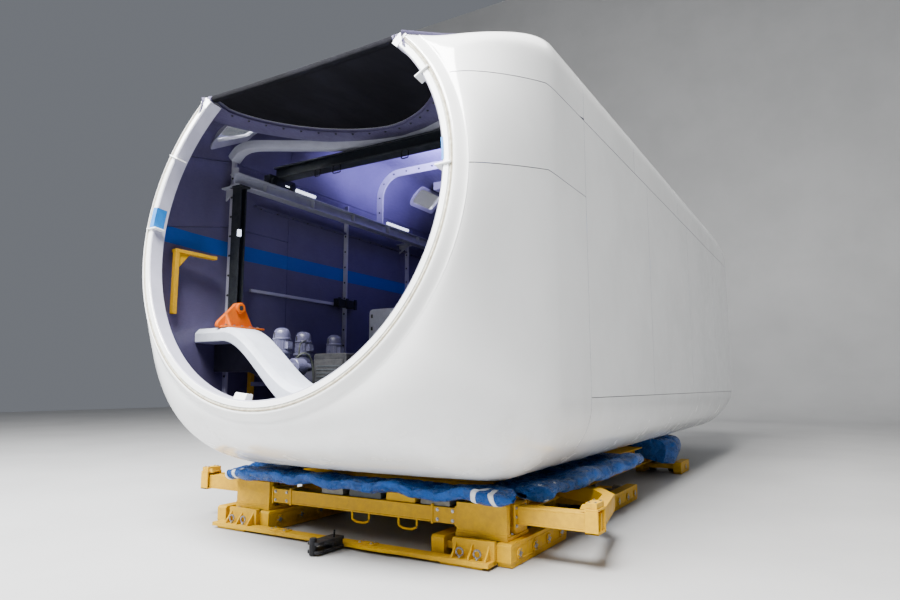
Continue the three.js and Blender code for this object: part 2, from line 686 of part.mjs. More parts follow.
function makeCabinets() {
  place("control_cabinet", onSaddle([960, 1440], 2710, [3300, 3900]), "cabinet");
  place("brake_unit", onSaddle([320, 800], 1970, [1450, 2050]), "black");
}

// The same range of x on the left or the right side of the trucks.
function onTruck([inner, outer], side) {
  const shift = side === "left" ? TRUCK_SHIFT : 0;
  return [inner + shift, outer + shift];
}

// One wheel truck: two side boxes over the wheels, joined by a lower web and a top plate.
function truck(y, side) {
  const [start, end] = onTruck(TRUCK_X, side);
  return join(
    box([start, start + TRUCK_SIDE], y, [0, TRUCK_TOP_Z]),
    box([end - TRUCK_SIDE, end], y, [0, TRUCK_TOP_Z]),
    box([start, end], [y[0] + TRUCK_WEB_IN, y[1] - TRUCK_WEB_IN], [TRUCK_WEB_IN, TRUCK_TOP_Z]),
  );
}

function makeTrucks() {
  for (const side of ["left", "right"]) {
    place(`truck_front_${side}`, truck(TRUCK_FRONT_Y, side), "yellow");
    place(`truck_middle_${side}`, truck(TRUCK_MIDDLE_Y, side), "yellow");
    place(`truck_rear_${side}`, truck(TRUCK_REAR_Y, side), "yellow");
  }
}

// Each front truck carries a pedestal on a slightly wider base plate.
function pedestal(sign) {
  const stepX = span(sign, PEDESTAL_X[0] - PEDESTAL_STEP, PEDESTAL_X[1] + PEDESTAL_STEP);
  const step = box(stepX, [PEDESTAL_Y[0] - PEDESTAL_STEP, PEDESTAL_Y[1]], [TRUCK_TOP_Z + SEAM, STEP_TOP_Z]);
  return join(step, box(span(sign, ...PEDESTAL_X), PEDESTAL_Y, [STEP_TOP_Z - STEP_OVERLAP, DECK_TOP_Z]));
}

// An outrigger: an arm out from the pedestal, a post at its end, and a bent arm back to the side beam.
function outrigger(sign) {
  const arm = box(span(sign, PEDESTAL_X[1] + SEAM, ARM_END_X), ARM_Y, ARM_Z);
  const post = box(span(sign, ...POST_X), POST_Y, POST_Z);
  const end = RETURN_ARM_END_Y.map((y) => [SIDE_BEAM_X[1] + SEAM, y]);
  const outline = [...RETURN_ARM_START, ...end, ...RETURN_ARM_INSIDE];
  return join(arm, post, alongZ(outline.map(([x, y]) => [sign * x, y]), ARM_Z));
}

// Pedestals, the beams along both sides and the beams across, which carry the yaw drum.
function makeFrameBeams() {
  const sideY = [PEDESTAL_Y[1] + SEAM, TRUCK_REAR_Y[1]];
  const sideZ = [TRUCK_TOP_Z + SEAM, DECK_TOP_Z];
  for (const [side, sign] of [["left", -1], ["right", 1]]) {
    place(`pedestal_${side}`, pedestal(sign), "yellow");
    place(`side_beam_${side}`, box(span(sign, ...SIDE_BEAM_X), sideY, sideZ), "yellow");
    place(`outrigger_${side}`, outrigger(sign), "yellow");
  }
  const across = (half, start, depth, z) => box([-half + SEAM, half - SEAM], [start, start + depth], z);
  const frontHalf = PEDESTAL_X[0];
  const rearHalf = SIDE_BEAM_X[0];
  place("cross_beam_front", across(frontHalf, FRONT_BEAM_Y, CROSS_BEAM_DEPTH, FRONT_BEAM_Z), "yellow");
  place("yaw_seat", across(rearHalf, YAW_Y - YAW_SEAT_HALF, 2 * YAW_SEAT_HALF, SEAT_Z), "yellow");
  place("cross_beam_rear", across(rearHalf, REAR_BEAM_Y, CROSS_BEAM_DEPTH, SEAT_Z), "yellow");
}

// The flat bar in front of the front trucks, on a foot plate at each end, with the towing clamp.
function makeTieBar() {
  const parts = [box(TIE_BAR_X, TIE_BAR_Y, TIE_BAR_Z)];
  for (const side of ["left", "right"]) {
    parts.push(box(onTruck(TIE_FOOT_X, side), TIE_FOOT_Y, [TIE_FOOT_Z, TIE_BAR_Z[0] + TIE_OVERLAP]));
    const backY = [TIE_BAR_Y[1] - TIE_OVERLAP, TRUCK_FRONT_Y[0] - SEAM];
    parts.push(box(onTruck(TIE_BACK_X, side), backY, [TIE_BAR_Z[0], TIE_BACK_TOP_Z]));
  }
  place("tie_bar", join(...parts), "yellow");
  const jaw = box([-JAW_HALF, JAW_HALF], [TIE_BAR_Y[0] - JAW_LENGTH, TIE_BAR_Y[0] - SEAM], JAW_Z);
  const pin = upright(CLAMP_PIN_RADIUS, CLAMP_PIN_X, CLAMP_PIN_Y, CLAMP_PIN_Z, CLAMP_PIN_SIDES);
  place("coupling", join(jaw, pin), "black");
}

// Folded sheets under the housing, in front, on both sides and at the rear.
function makeTarps() {
  place("tarp_front", alongX(TARP_FRONT_OUTLINE, TARP_FRONT_X), "tarp");
  for (const [side, sign] of [["left", -1], ["right", 1]]) {
    place(`tarp_${side}`, alongY(TARP_SIDE_OUTLINE.map(([x, z]) => [sign * x, z]), TARP_SIDE_Y), "tarp");
  }
  const right = TARP_REAR_OUTLINE;
  const left = [...right].reverse().map(([x, z]) => [-x, z]);
  place("tarp_rear", alongY([...right, ...left], TARP_REAR_Y), "tarp");
}

makeRoof(makeFrontPanels());
makeSides();
makeBottom();
makeRearWall();
makeRoofCover();
makeBedFrame();
makeLiftingLug();
makeYawDrives();
makeCrane();
makeCabinets();
makeTrucks();
makeFrameBeams();
makeTieBar();
makeTarps();

// The origin goes to the floor under the middle of the outline.
nacelle.updateMatrixWorld(true);
const bounds = new THREE.Box3().setFromObject(nacelle);
nacelle.position.set(0, -(bounds.min.y + bounds.max.y) / 2, 0);

export default nacelle;
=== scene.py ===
import bmesh
import bpy
import numpy as np
from bpy.props import FloatProperty, FloatVectorProperty, PointerProperty
from bpy.types import Operator, Panel, PropertyGroup
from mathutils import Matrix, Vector


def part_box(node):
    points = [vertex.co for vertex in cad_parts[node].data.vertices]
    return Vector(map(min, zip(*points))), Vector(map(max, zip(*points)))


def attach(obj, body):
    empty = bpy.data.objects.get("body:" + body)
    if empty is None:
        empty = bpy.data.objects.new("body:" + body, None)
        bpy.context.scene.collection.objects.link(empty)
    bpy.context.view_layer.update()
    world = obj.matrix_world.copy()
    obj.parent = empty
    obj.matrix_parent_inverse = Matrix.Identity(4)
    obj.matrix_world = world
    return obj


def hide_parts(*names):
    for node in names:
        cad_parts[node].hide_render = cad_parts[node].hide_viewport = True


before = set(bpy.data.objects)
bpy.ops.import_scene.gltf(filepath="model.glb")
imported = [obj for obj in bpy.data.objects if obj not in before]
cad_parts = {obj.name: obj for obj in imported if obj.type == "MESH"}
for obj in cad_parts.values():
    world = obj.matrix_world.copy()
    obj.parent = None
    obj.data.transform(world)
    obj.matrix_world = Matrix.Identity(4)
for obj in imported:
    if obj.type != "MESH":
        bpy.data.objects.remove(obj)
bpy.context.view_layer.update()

bl_info = {
    "name": "Nacelle on its transport frame",
    "version": (1, 0, 0),
    "blender": (4, 5, 0),
    "location": "3D View > Sidebar > Nacelle",
    "description": "Dresses the packed nacelle housing and its transport frame",
    "category": "Object",
}

# The middle of the front ring lies here along the row frame's Y. Every y below is counted from it.
RING_ROW_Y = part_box("front_roof")[1].y - 2.34
HOUSING = "housing"
BRIDGE = "crane_bridge"

# Housing, in metres, as in the part's source.
HALF_WIDTH = 2.2
BOTTOM_Z = 0.7
ROOF_Z = 5.25
BOTTOM_CORNER = 0.75
TOP_CORNER = 0.5
REAR_Y = 13.3
WALL = 0.04
RING_Z = 3.274
RING_TILT = 0.12
FLARE_RADIUS = 2.0
FLARE_BACK = 0.08
DECK_Z = 4.69
DECK_WALL = 0.045
RING_TOP_Z = DECK_Z + 0.025
SIDE_BLEND_Y = 1.5
ROOF_BLEND_Y = 2.0
BOW_POWER = 1.6
ROOF_ANGLE = 0.68
SIDE_ANGLE = 0.98
HATCH_HALF = 1.28
HATCH_FRONT_HALF = 1.18
HATCH_FRONT_Y = 0.17
HATCH_ROUND_Y = 0.5
HATCH_END_Y = 1.79
HATCH_POWER = 1.7
HATCH_FLANGE = 0.41
HATCH_FRONT_FLANGE = 0.11
BAY_Y = [2.34, 5.06, 7.9, 10.6]
ROOF_JOINT_Y = [2.34, 4.4, 7.2, 10.0]
BOTTOM_JOINT_Z = 1.48
ROOF_JOINT_Z = 4.47
FRONT_JOINT_BEND_Y = 1.3
LOWER_JOINT_Z = (3.33, 3.61)
UPPER_JOINT_Z = (4.16, 4.47)
JOINT_GAP = 0.0035

# Inside, in metres.
BED_FRONT_Y = 0.8
BED_REAR_Y = 5.6
BED_THICK = 0.17
BED_EDGE_Z = 2.27
BED_MIDDLE_Z = 1.58
BED_DROP = 0.33
BED_SHOULDER = 1.6
BED_SLOPE = 1.35
YOKE_REAR_Y = 1.25
YAW_Y = 3.7
YAW_DRUM_RADIUS = 1.23
DRIVE_TOP_Z = 2.28
RAIL_X = 1.9
RAIL_Z = (4.08, 4.23)
RAIL_Y = (1.13, 10.4)
BRIDGE_Y = 1.9
BRIDGE_Z = (4.35, 4.51)
COLUMN_Y = 1.225

TAU = 2 * np.pi
MIRROR = np.array([-1, 1, 1])
FORWARD = (0, -1, 0)
UP = (0, 0, 1)
DOWN = (0, 0, -1)

# The radius and height of the commonest bolt head, and the width of the commonest bevel.
SMALL_BOLT = (0.011, 0.012)
BEVEL = 0.004

# Points along the parts of a section: a flat, a quarter circle, a side. Rows of the bow and of the roof.
FLAT_STEPS = 25
ARC_STEPS = 25
SIDE_STEPS = 40
BOW_ROWS = 56
ROOF_ALONG = 120
RING_STEPS = 240

# Edges that turn by more than this many radians stay sharp.
SHARP_ANGLE = 0.6

# Fittings on the ring: angles from its top with half a tab's width, and the tapes' spans with their reach.
RING_TAB_HALF = 0.0045
RING_TABS = (1.012, 1.53, TAU - 1.12, TAU - 1.57)
BLUE_TAPES = [((TAU - 1.56, TAU - 1.44), 1.874), ((1.4, 1.51), 1.83)]

# The roof cover and the skylights. Each skylight has its middle, its length, its width and its skew.
COVER_MARGIN = 0.085
COVER_FRONT_Y = 0.235
COVER_SAG = 0.012
SKYLIGHTS = {
    "skylight_front": ((-2.05, 1.33, 4.9), 0.6, 0.27, 0.8),
    "skylight_rear": ((-2.055, 5.72, 5.105), 0.7, 0.33, 0.0),
}
SKYLIGHT_LEAN = 0.26
SKYLIGHT_MARGIN = 0.03
SHOULDER_LOW_Z = 4.55

# Inside fittings. Half of the moulded arch runs from the roof's middle down to its foot.
INNER_HALF = HALF_WIDTH - WALL - 0.002
DRIVE_PLACES = [(-1.19, 1.32), (-1.36, 1.86), (-1.37, 2.46)]
DRUM_SIDES = 96
ARCH_HALF = [
    (0.0, 2.06, 4.63), (0.4, 1.99, 4.63), (0.73, 1.85, 4.62), (1.02, 1.7, 4.62), (1.32, 1.48, 4.61),
    (1.56, 1.3, 4.6), (1.75, 1.17, 4.59), (1.88, 1.13, 4.54), (1.97, 1.13, 4.47), (2.0, 1.13, 4.44),
]

# The transport frame, in metres. The left trucks are the right ones moved across.
TRUCK_X = (0.99, 1.82)
TRUCK_SHIFT = -2.97
TRUCK_SPANS = [("front", 1.17, 2.54), ("middle", 3.92, 5.37), ("rear", 8.38, 9.13)]
TRUCK_TOP = 0.21
AXLE_Z = 0.105
WHEEL = [(0, -0.06), (0.09, -0.06), (0.1, -0.05), (0.1, 0.05), (0.09, 0.06), (0, 0.06)]
WHEEL_Z = 0.102
DECK_TOP_Z = 0.52
PEDESTAL_X = (1.215, 1.755)
PEDESTAL_Y = (1.235, 1.7)
SIDE_BEAM_X = (1.0, 1.3)
SEAT_HALF = 0.9997
BEAM_PADS = [
    (-0.5, -0.2, "worn_steel"),
    (-0.12, 0.3, "dark_rubber"),
    (0.36, 0.72, "yellow"),
    (0.78, 1.12, "worn_steel"),
]
POST_X = (2.43, 2.55)
POST_Y = (1.37, 1.59)
POST_Z = (0.33, 0.595)
ARM_LOW = (0.34, 0.36)
ARM_WEB = (0.36, 0.48)
ARM_TOP = (0.48, 0.5)
RETURN_ARM = [
    (2.43, 1.48), (2.545, 1.48), (2.34, 2.56), (2.12, 2.86), (1.3003, 3.3), (1.3003, 3.15),
    (2.04, 2.76), (2.23, 2.5),
]
TIE_BAR_Y = (1.0, 1.14)
TIE_BAR_Z = (0.025, 0.065)

# The folded sheets in section: pairs of across and height.
FRONT_FOLD = [
    (1.43, 0.53), (1.24, 0.528), (1.1, 0.55), (1.03, 0.605), (1.01, 0.69), (1.06, 0.722),
    (1.2, 0.698), (1.43, 0.684),
]
SIDE_FOLD = [
    (1.27, 0.528), (1.9, 0.53), (2.07, 0.565), (2.14, 0.66), (2.045, 0.772), (1.9, 0.758),
    (1.76, 0.716), (1.6, 0.684), (1.27, 0.684),
]
REAR_FOLD = [(1.8, 0.22), (1.89, 0.42), (1.84, 0.635), (1.6, 0.68), (0.8, 0.684), (0, 0.684)]

# The camera of the photo, in the row frame, with its lens and sensor width in millimetres.
CAMERA_SPOT = (4.4, -10.768, 1.6)
CAMERA_LOOK = (-0.5059, 0.8526, 0.1312)
CAMERA_LENS = 26.0
CAMERA_SENSOR = 36.0

# The materials, made once and kept by name, the black paint, and the colours of tape, rubber and the thin
# line of painted shade in the ring's groove.
FINISHES = {}
BLACK = (0.008, 0.008, 0.01)
TAPES = {
    "blue_tape": (0.0, 0.16, 0.5),
    "white_tape": (0.75, 0.77, 0.8),
    "dark_rubber": (0.03, 0.035, 0.03),
    "groove_shade_line": (0.2, 0.12, 0.07),
}


# Whole-array shape helpers. A surface is an array of points, rows by columns by 3.


def smooth_step(t):
    """3 t squared minus 2 t cubed: level at both ends, between 0 and 1."""
    t = np.clip(t, 0, 1)
    return t * t * (3 - 2 * t)


def skin(points, close_rows=False, close_columns=False):
    """Four-sided faces between neighbouring rows and columns, each looking along column step x row step."""
    rows, columns = points.shape[:2]
    index = np.arange(rows * columns).reshape(rows, columns)
    if close_rows:
        index = np.vstack([index, index[:1]])
    if close_columns:
        index = np.hstack([index, index[:, :1]])
    corners = (index[:-1, :-1], index[:-1, 1:], index[1:, 1:], index[1:, :-1])
    faces = np.stack([c.ravel() for c in corners], axis=1)
    return points.reshape(-1, 3), faces.tolist()


def with_ends(part, sides):
    """A skin made of rings, with a face over its first ring and one over its last."""
    flat, faces = part
    ring = list(range(sides))
    return flat, faces + [ring[::-1], [len(flat) - sides + i for i in ring]]


def swept(rows):
    """A closed profile, one row for each of its points, skinned along its sweep with both ends closed."""
    flat, faces = skin(rows, close_rows=True)
    starts = [i * rows.shape[1] for i in range(rows.shape[0])]
    return flat, faces + [starts, [i + rows.shape[1] - 1 for i in starts[::-1]]]


def unit(vectors):
    """The same directions at length 1."""
    return vectors / np.linalg.norm(vectors, axis=-1, keepdims=True)


def joined(*parts):
    """Several (points, faces) as one, with the faces renumbered."""
    points, faces, start = [], [], 0
    for part_points, part_faces in parts:
        points.append(np.asarray(part_points, float))
        faces += [[i + start for i in face] for face in part_faces]
        start += len(part_points)
    return np.vstack(points), faces


def repeated(part, places):
    """One (points, faces) set down at each of the places."""
    points, faces = part
    places = np.asarray(places, float).reshape(-1, 3)
    moved = (points[None] + places[:, None]).reshape(-1, 3)
    shifts = np.arange(len(places)) * len(points)
    return moved, [[i + s for i in face] for s in shifts.tolist() for face in faces]


def mirrored(part):
    """The same part on the other side of x = 0, its faces turned to look outwards again."""
    points, faces = part
    return points * MIRROR, [face[::-1] for face in faces]


def both(part):
    """A part and its mirror image."""
    return joined(part, mirrored(part))


def block(x, y, z):
    """A closed box between two values on each axis."""
    grid = np.array([[a, b, c] for c in z for b in y for a in x], float)
    faces = [[0, 2, 3, 1], [4, 5, 7, 6], [0, 1, 5, 4], [2, 6, 7, 3], [0, 4, 6, 2], [1, 3, 7, 5]]
    return grid, faces


def blocks(*spans):
    """Several closed boxes as one, each from its two values on x, on y and on z."""
    return joined(*[block(*span) for span in spans])


def prism(outline, axis, low, high):
    """A closed outline of pairs on two axes, carried along the third from low to high."""
    outline = np.asarray(outline, float)
    ahead = np.roll(outline, -1, axis=0)
    area = np.sum(outline[:, 0] * ahead[:, 1] - outline[:, 1] * ahead[:, 0])
    if (area < 0) != (axis == "y"):
        outline = outline[::-1]
    order = {"x": (1, 2, 0), "y": (0, 2, 1), "z": (0, 1, 2)}[axis]
    points = np.zeros((2, len(outline), 3))
    points[:, :, order[0]] = outline[:, 0]
    points[:, :, order[1]] = outline[:, 1]
    points[:, :, order[2]] = np.array([low, high])[:, None]
    return with_ends(skin(points, close_columns=True), len(outline))


def turned(profile, centre, axis="z", sides=24):
    """A profile of (radius, height) pairs carried round an axis. A zero radius closes to a pole."""
    profile = np.asarray(profile, float)
    angle = np.arange(sides) * TAU / sides
    radius, height = profile[:, :1], profile[:, 1:]
    around = [radius * np.cos(angle), radius * np.sin(angle), height + 0 * angle]
    order = {"z": (0, 1, 2), "x": (2, 0, 1), "y": (1, 2, 0)}[axis]
    points = np.stack([around[i] for i in order], axis=-1) + np.asarray(centre, float)
    return with_ends(skin(points, close_columns=True), sides)


def tube(path, radius, sides=10):
    """A circle carried along a path, square to it, with its ends closed."""
    path = np.asarray(path, float)
    along = unit(np.gradient(path, axis=0))
    helper = np.where(np.abs(along[:, 2:]) < 0.9, [[0, 0, 1.0]], [[1.0, 0, 0]])
    across = unit(np.cross(along, helper))
    other = np.cross(across, along)
    angle = np.arange(sides) * TAU / sides
    ring = np.cos(angle)[:, None, None] * across + np.sin(angle)[:, None, None] * other
    points = path[None] + radius * ring
    return with_ends(skin(np.swapaxes(points, 0, 1), close_columns=True), sides)


def bent(points, spacing=0.03):
    """A polyline with its points set out evenly along its length."""
    points = np.asarray(points, float)
    step = np.r_[0, np.cumsum(np.linalg.norm(np.diff(points, axis=0), axis=1))]
    count = max(int(step[-1] / spacing), 2)
    at = np.linspace(0, step[-1], count + 1)
    return np.stack([np.interp(at, step, points[:, i]) for i in range(points.shape[1])], axis=1)


def rounded(outline, radius=0.02, steps=5):
    """A closed outline whose corners are replaced by short curves: each is a blend of its two cut points and
    the corner, (1 - s) squared, 2 s (1 - s) and s squared."""
    outline = np.asarray(outline, float)
    share = np.linspace(0, 1, steps)[None, :, None]
    back, ahead = np.roll(outline, 1, axis=0) - outline, np.roll(outline, -1, axis=0) - outline
    back_length = np.linalg.norm(back, axis=1, keepdims=True)
    ahead_length = np.linalg.norm(ahead, axis=1, keepdims=True)
    cut = np.minimum(radius, np.minimum(back_length, ahead_length) * 0.45)
    start = outline + back / back_length * cut
    end = outline + ahead / ahead_length * cut
    curve = (1 - share) ** 2 * start[:, None] + 2 * share * (1 - share) * outline[:, None]
    return (curve + share**2 * end[:, None]).reshape(-1, outline.shape[1])


def bolt(normal, radius=0.014, height=0.012):
    """A six-sided head on a thin round washer, whose underside lies at the origin."""
    washer = [(0, 0), (radius * 1.5, 0), (radius * 1.5, height * 0.25), (radius, height * 0.25)]
    head = [(radius, height * 0.9), (radius * 0.85, height), (0, height)]
    points, faces = turned([*washer, *head], (0, 0, 0), "z", 6)
    normal = unit(np.asarray(normal, float))
    across = unit(np.cross([1.0, 0, 0] if abs(normal[0]) < 0.9 else [0, 1.0, 0], normal))
    return points @ np.stack([across, np.cross(normal, across), normal]), faces


def bolts(places, normal, radius=0.014, height=0.012):
    """The same bolt at each of the places."""
    return repeated(bolt(normal, radius, height), places)


def smooth_path(points, rounds=3):
    """A polyline with its corners cut again and again, a quarter of each side at a time."""
    line = np.asarray(points, float)
    for _ in range(rounds):
        near, far = line[:-1] * 0.75 + line[1:] * 0.25, line[:-1] * 0.25 + line[1:] * 0.75
        inner = np.stack([near, far], axis=1).reshape(-1, line.shape[1])
        line = np.vstack([line[:1], inner, line[-1:]])
    return line


# The housing's own surface.


def drawn_in(y, start, depth):
    """How far a face has drawn in at y: a quarter ellipse from start to the rear end."""
    share = np.clip((y - start) / (REAR_Y - start), 0, 1)
    return depth * (1 - np.sqrt(1 - share * share))


def half_section(y, wall=0.0):
    """The right half of the section at each y, from the roof's middle round to the bottom's middle:
    a flat, a quarter circle, a straight side, a quarter circle and a flat, as (y, points, 3)."""
    y = np.atleast_1d(np.asarray(y, float))[:, None]
    half = HALF_WIDTH - drawn_in(y, 12.6, 0.3) - wall
    low = BOTTOM_Z + drawn_in(y, 11.3, 0.48) + wall
    top = ROOF_Z - drawn_in(y, 11.5, 0.56) - wall
    upper, lower = TOP_CORNER - wall, BOTTOM_CORNER - wall
    flat = np.arange(FLAT_STEPS) / FLAT_STEPS
    turn = np.linspace(0, np.pi / 2, ARC_STEPS + 1)
    down = np.arange(1, SIDE_STEPS) / SIDE_STEPS
    back = 1 - np.arange(1, FLAT_STEPS + 1) / FLAT_STEPS
    side_top, side_low = top - upper, low + lower
    x = [
        (half - upper) * flat,
        half - upper + upper * np.sin(turn),
        half + 0 * down,
        half - lower + lower * np.cos(turn),
        (half - lower) * back,
    ]
    z = [
        top + 0 * flat,
        side_top + upper * np.cos(turn),
        side_top + (side_low - side_top) * down,
        side_low - lower * np.sin(turn),
        low + 0 * back,
    ]
    x, z = np.hstack(x), np.hstack(z)
    return np.stack([x, y + 0 * x, z], axis=-1)


def ring_point(angle, radius, back, flat_z):
    """A point of the tilted ring: radius at an angle from its top, back behind its plane, cut at flat_z."""
    flat = (flat_z - RING_Z) / np.cos(RING_TILT)
    cosine = np.cos(angle)
    reach = np.where(cosine > 1e-6, np.minimum(radius, flat / np.maximum(cosine, 1e-6)), radius)
    up = reach * cosine
    x = reach * np.sin(angle)
    y = up * np.sin(RING_TILT) + back * np.cos(RING_TILT)
    z = RING_Z + up * np.cos(RING_TILT) - back * np.sin(RING_TILT)
    return np.stack([x, y, z], axis=-1)


def half_bow(wall=0.0):
    """The right half of the housing from the flare to the first bay. Each point goes from the flare to the
    full section: across by a superellipse at the sides and a smooth step on the roof, back by 1 - cos."""
    full = half_section(BAY_Y[0], wall)[0]
    outside = half_section(BAY_Y[0])[0]
    angle = np.arctan2(outside[:, 0], outside[:, 2] - RING_Z)
    start = ring_point(angle, FLARE_RADIUS - wall, FLARE_BACK + wall, RING_TOP_Z - wall)
    along = 1 - np.cos(np.pi / 2 * np.linspace(0, 1, BOW_ROWS))[:, None]
    swell = (1 - (1 - along) ** BOW_POWER) ** (1 / BOW_POWER)
    roofness = 1 - smooth_step((np.abs(angle) - ROOF_ANGLE) / (SIDE_ANGLE - ROOF_ANGLE))
    out = swell + (smooth_step(along) - swell) * roofness
    end_y = SIDE_BLEND_Y + (ROOF_BLEND_Y - SIDE_BLEND_Y) * roofness
    x = start[:, 0] + (full[:, 0] - start[:, 0]) * out
    y = start[:, 1] + (end_y - start[:, 1]) * along
    z = start[:, 2] + (full[:, 2] - start[:, 2]) * out
    bow = np.stack([x, y, z], axis=-1)
    tail = np.repeat(bow[-1:], 4, axis=0)
    share = np.linspace(0.25, 1, 4)[:, None]
    tail[:, :, 1] += (BAY_Y[0] - JOINT_GAP - tail[:, :, 1]) * share
    return np.vstack([bow, tail])


def wall_rows(y, wall):
    """The inner outline of the housing at one station, as (x, z): from the bow where the front panels are,
    else from the straight section."""
    if y >= BAY_Y[0]:
        return half_section(y, wall)[0][:, [0, 2]]
    lines = half_bow(wall).swapaxes(0, 1)
    return np.stack([[np.interp(y, line[:, 1], line[:, i]) for i in (0, 2)] for line in lines])


def inner_half(y, z, gap=0.003):
    """Half the room between the walls at (y, z), less a small gap."""
    rows = wall_rows(y, WALL + gap)
    return float(np.interp(z, rows[::-1, 1], rows[::-1, 0]))


def front_joint(pair):
    """The height of a joint of the front panels at y: level at the ring, then sloping, then level."""
    return lambda y: np.interp(y, [0, FRONT_JOINT_BEND_Y], pair)


def level(z):
    """The height of a level joint."""
    return lambda y: z + 0 * y


def crossing(rows, joint, gap):
    """For each row of a half section, the place between its points where it meets a joint, gap above it."""
    above = rows[:, :, 2] - joint(rows[:, :, 1]) - gap
    after = np.argmax(above < 0, axis=1)
    pick = np.arange(len(rows))
    high, low = above[pick, after - 1], above[pick, after]
    return after - 1 + high / (high - low)


def band(rows, start, end, columns):
    """Each row between two places, with its points set out afresh."""
    at = start[:, None] + (end - start)[:, None] * np.linspace(0, 1, columns)
    low = np.clip(np.floor(at).astype(int), 0, rows.shape[1] - 2)
    share = (at - low)[:, :, None]
    first = np.take_along_axis(rows, low[:, :, None], axis=1)
    second = np.take_along_axis(rows, low[:, :, None] + 1, axis=1)
    return first + (second - first) * share


def over_roof(half):
    """The right half of a roof band and its mirror image, as one surface from left to right."""
    left = half[:, :0:-1] * MIRROR
    return np.concatenate([left, half], axis=1)


def hatch_outline(margin=0.0, front_margin=None, steps=24):
    """The roof opening: straight sides in front, then a superellipse round its rear, right to left."""
    front_margin = margin if front_margin is None else front_margin
    turn = np.linspace(0, np.pi / 2, steps)
    depth = HATCH_END_Y + margin - HATCH_ROUND_Y
    x = (HATCH_HALF + margin) * np.cos(turn) ** (2 / HATCH_POWER)
    y = HATCH_ROUND_Y + depth * np.sin(turn) ** (2 / HATCH_POWER)
    front = HATCH_FRONT_HALF + front_margin
    right = np.vstack([[[front, HATCH_FRONT_Y]], np.stack([x, y], axis=1)])
    right[-1, 0] = 0
    return np.vstack([right, right[-2::-1] * np.array([-1, 1])])


# Materials. A Value wraps a socket of a material's node tree, and sums on it add the nodes.


class Value:
    """A number or a colour inside a material."""

    def __init__(self, paint, socket):
        self.paint = paint
        self.socket = socket

    def worked(self, operation, first, second):
        """One sum on two values."""
        return self.paint.node("ShaderNodeMath", {"operation": operation}, {0: first, 1: second})

    def __add__(self, other):
        return self.worked("ADD", self, other)

    def __sub__(self, other):
        return self.worked("SUBTRACT", self, other)

    def __mul__(self, other):
        return self.worked("MULTIPLY", self, other)

    def size(self):
        """The value without its sign."""
        return self.paint.node("ShaderNodeMath", {"operation": "ABSOLUTE"}, {0: self})


class Paint:
    """One material. Its methods add nodes and give their outputs as values."""

    def __init__(self, name):
        self.material = bpy.data.materials.new(name)
        self.material.use_nodes = True
        self.tree = self.material.node_tree
        self.tree.nodes.clear()
        place = self.node("ShaderNodeTexCoord", out="Object")
        self.place = place
        parts = self.raw("ShaderNodeSeparateXYZ", {}, {"Vector": place})
        self.x, self.y, self.z = (Value(self, parts.outputs[i]) for i in range(3))

    def raw(self, kind, settings, inputs):
        """A new node with its settings, its inputs linked to values or set to numbers."""
        node = self.tree.nodes.new(kind)
        for name, value in settings.items():
            setattr(node, name, value)
        for name, value in inputs.items():
            if isinstance(value, Value):
                self.tree.links.new(value.socket, node.inputs[name])
            elif value is not None:
                node.inputs[name].default_value = value
        return node

    def node(self, kind, settings=None, inputs=None, out=0):
        """A new node's output as a value."""
        return Value(self, self.raw(kind, settings or {}, inputs or {}).outputs[out])

    def noise(self, scale, detail=3.0, rough=0.55, stretch=None):
        """Cloudy noise between 0 and 1, stretched along the axes if asked."""
        place = self.place
        if stretch:
            place = self.node("ShaderNodeVectorMath", {"operation": "MULTIPLY"}, {0: place, 1: stretch})
        inputs = {"Vector": place, "Scale": scale, "Detail": detail, "Roughness": rough}
        return self.node("ShaderNodeTexNoise", {}, inputs)

    def cells(self, scale):
        """The distance to the nearest of many scattered points."""
        return self.node("ShaderNodeTexVoronoi", {}, {"Vector": self.place, "Scale": scale})

    def between(self, value, low, high, start=0.0, end=1.0):
        """start below low, end above high, and a smooth rise between them."""
        inputs = {"Value": value, "From Min": low, "From Max": high, "To Min": start, "To Max": end}
        return self.node("ShaderNodeMapRange", {"interpolation_type": "SMOOTHSTEP"}, inputs)

    def mix(self, share, first, second):
        """The first colour where share is 0, the second where it is 1."""
        inputs = {0: share, 6: colour_of(first), 7: colour_of(second)}
        return self.node("ShaderNodeMix", {"data_type": "RGBA"}, inputs, out=2)

    def finish(self, colour, roughness, bump=None, depth=0.001, **constants):
        """The shader at the end: colour and roughness may vary, and the rest is set on its own sockets."""
        inputs = {"Base Color": colour_of(colour), "Roughness": roughness}
        for name, value in constants.items():
            inputs[name.replace("_", " ").title().replace("Ior", "IOR")] = value
        if bump is not None:
            relief = {"Height": bump, "Distance": depth, "Strength": 1.0}
            inputs["Normal"] = self.node("ShaderNodeBump", {}, relief)
        shader = self.node("ShaderNodeBsdfPrincipled", {}, inputs)
        self.raw("ShaderNodeOutputMaterial", {}, {"Surface": shader})
        return self.material


def colour_of(value):
    """A triple of numbers as a colour with alpha; a value as it is."""
    return value if isinstance(value, Value) else (*value[:3], 1.0)


def darker(colour, share):
    """A colour with each part multiplied by a share."""
    return [c * share for c in colour]


def edge_wear(paint, amount=0.6):
    """Where the surface turns sharply outwards, broken up by noise: 1 on a worn edge, 0 elsewhere."""
    sharp = paint.node("ShaderNodeNewGeometry", out="Pointiness")
    broken = paint.noise(18.0, 5.0, 0.7)
    return paint.between(sharp + (broken - 0.5) * 0.12, 0.53, 0.6) * amount


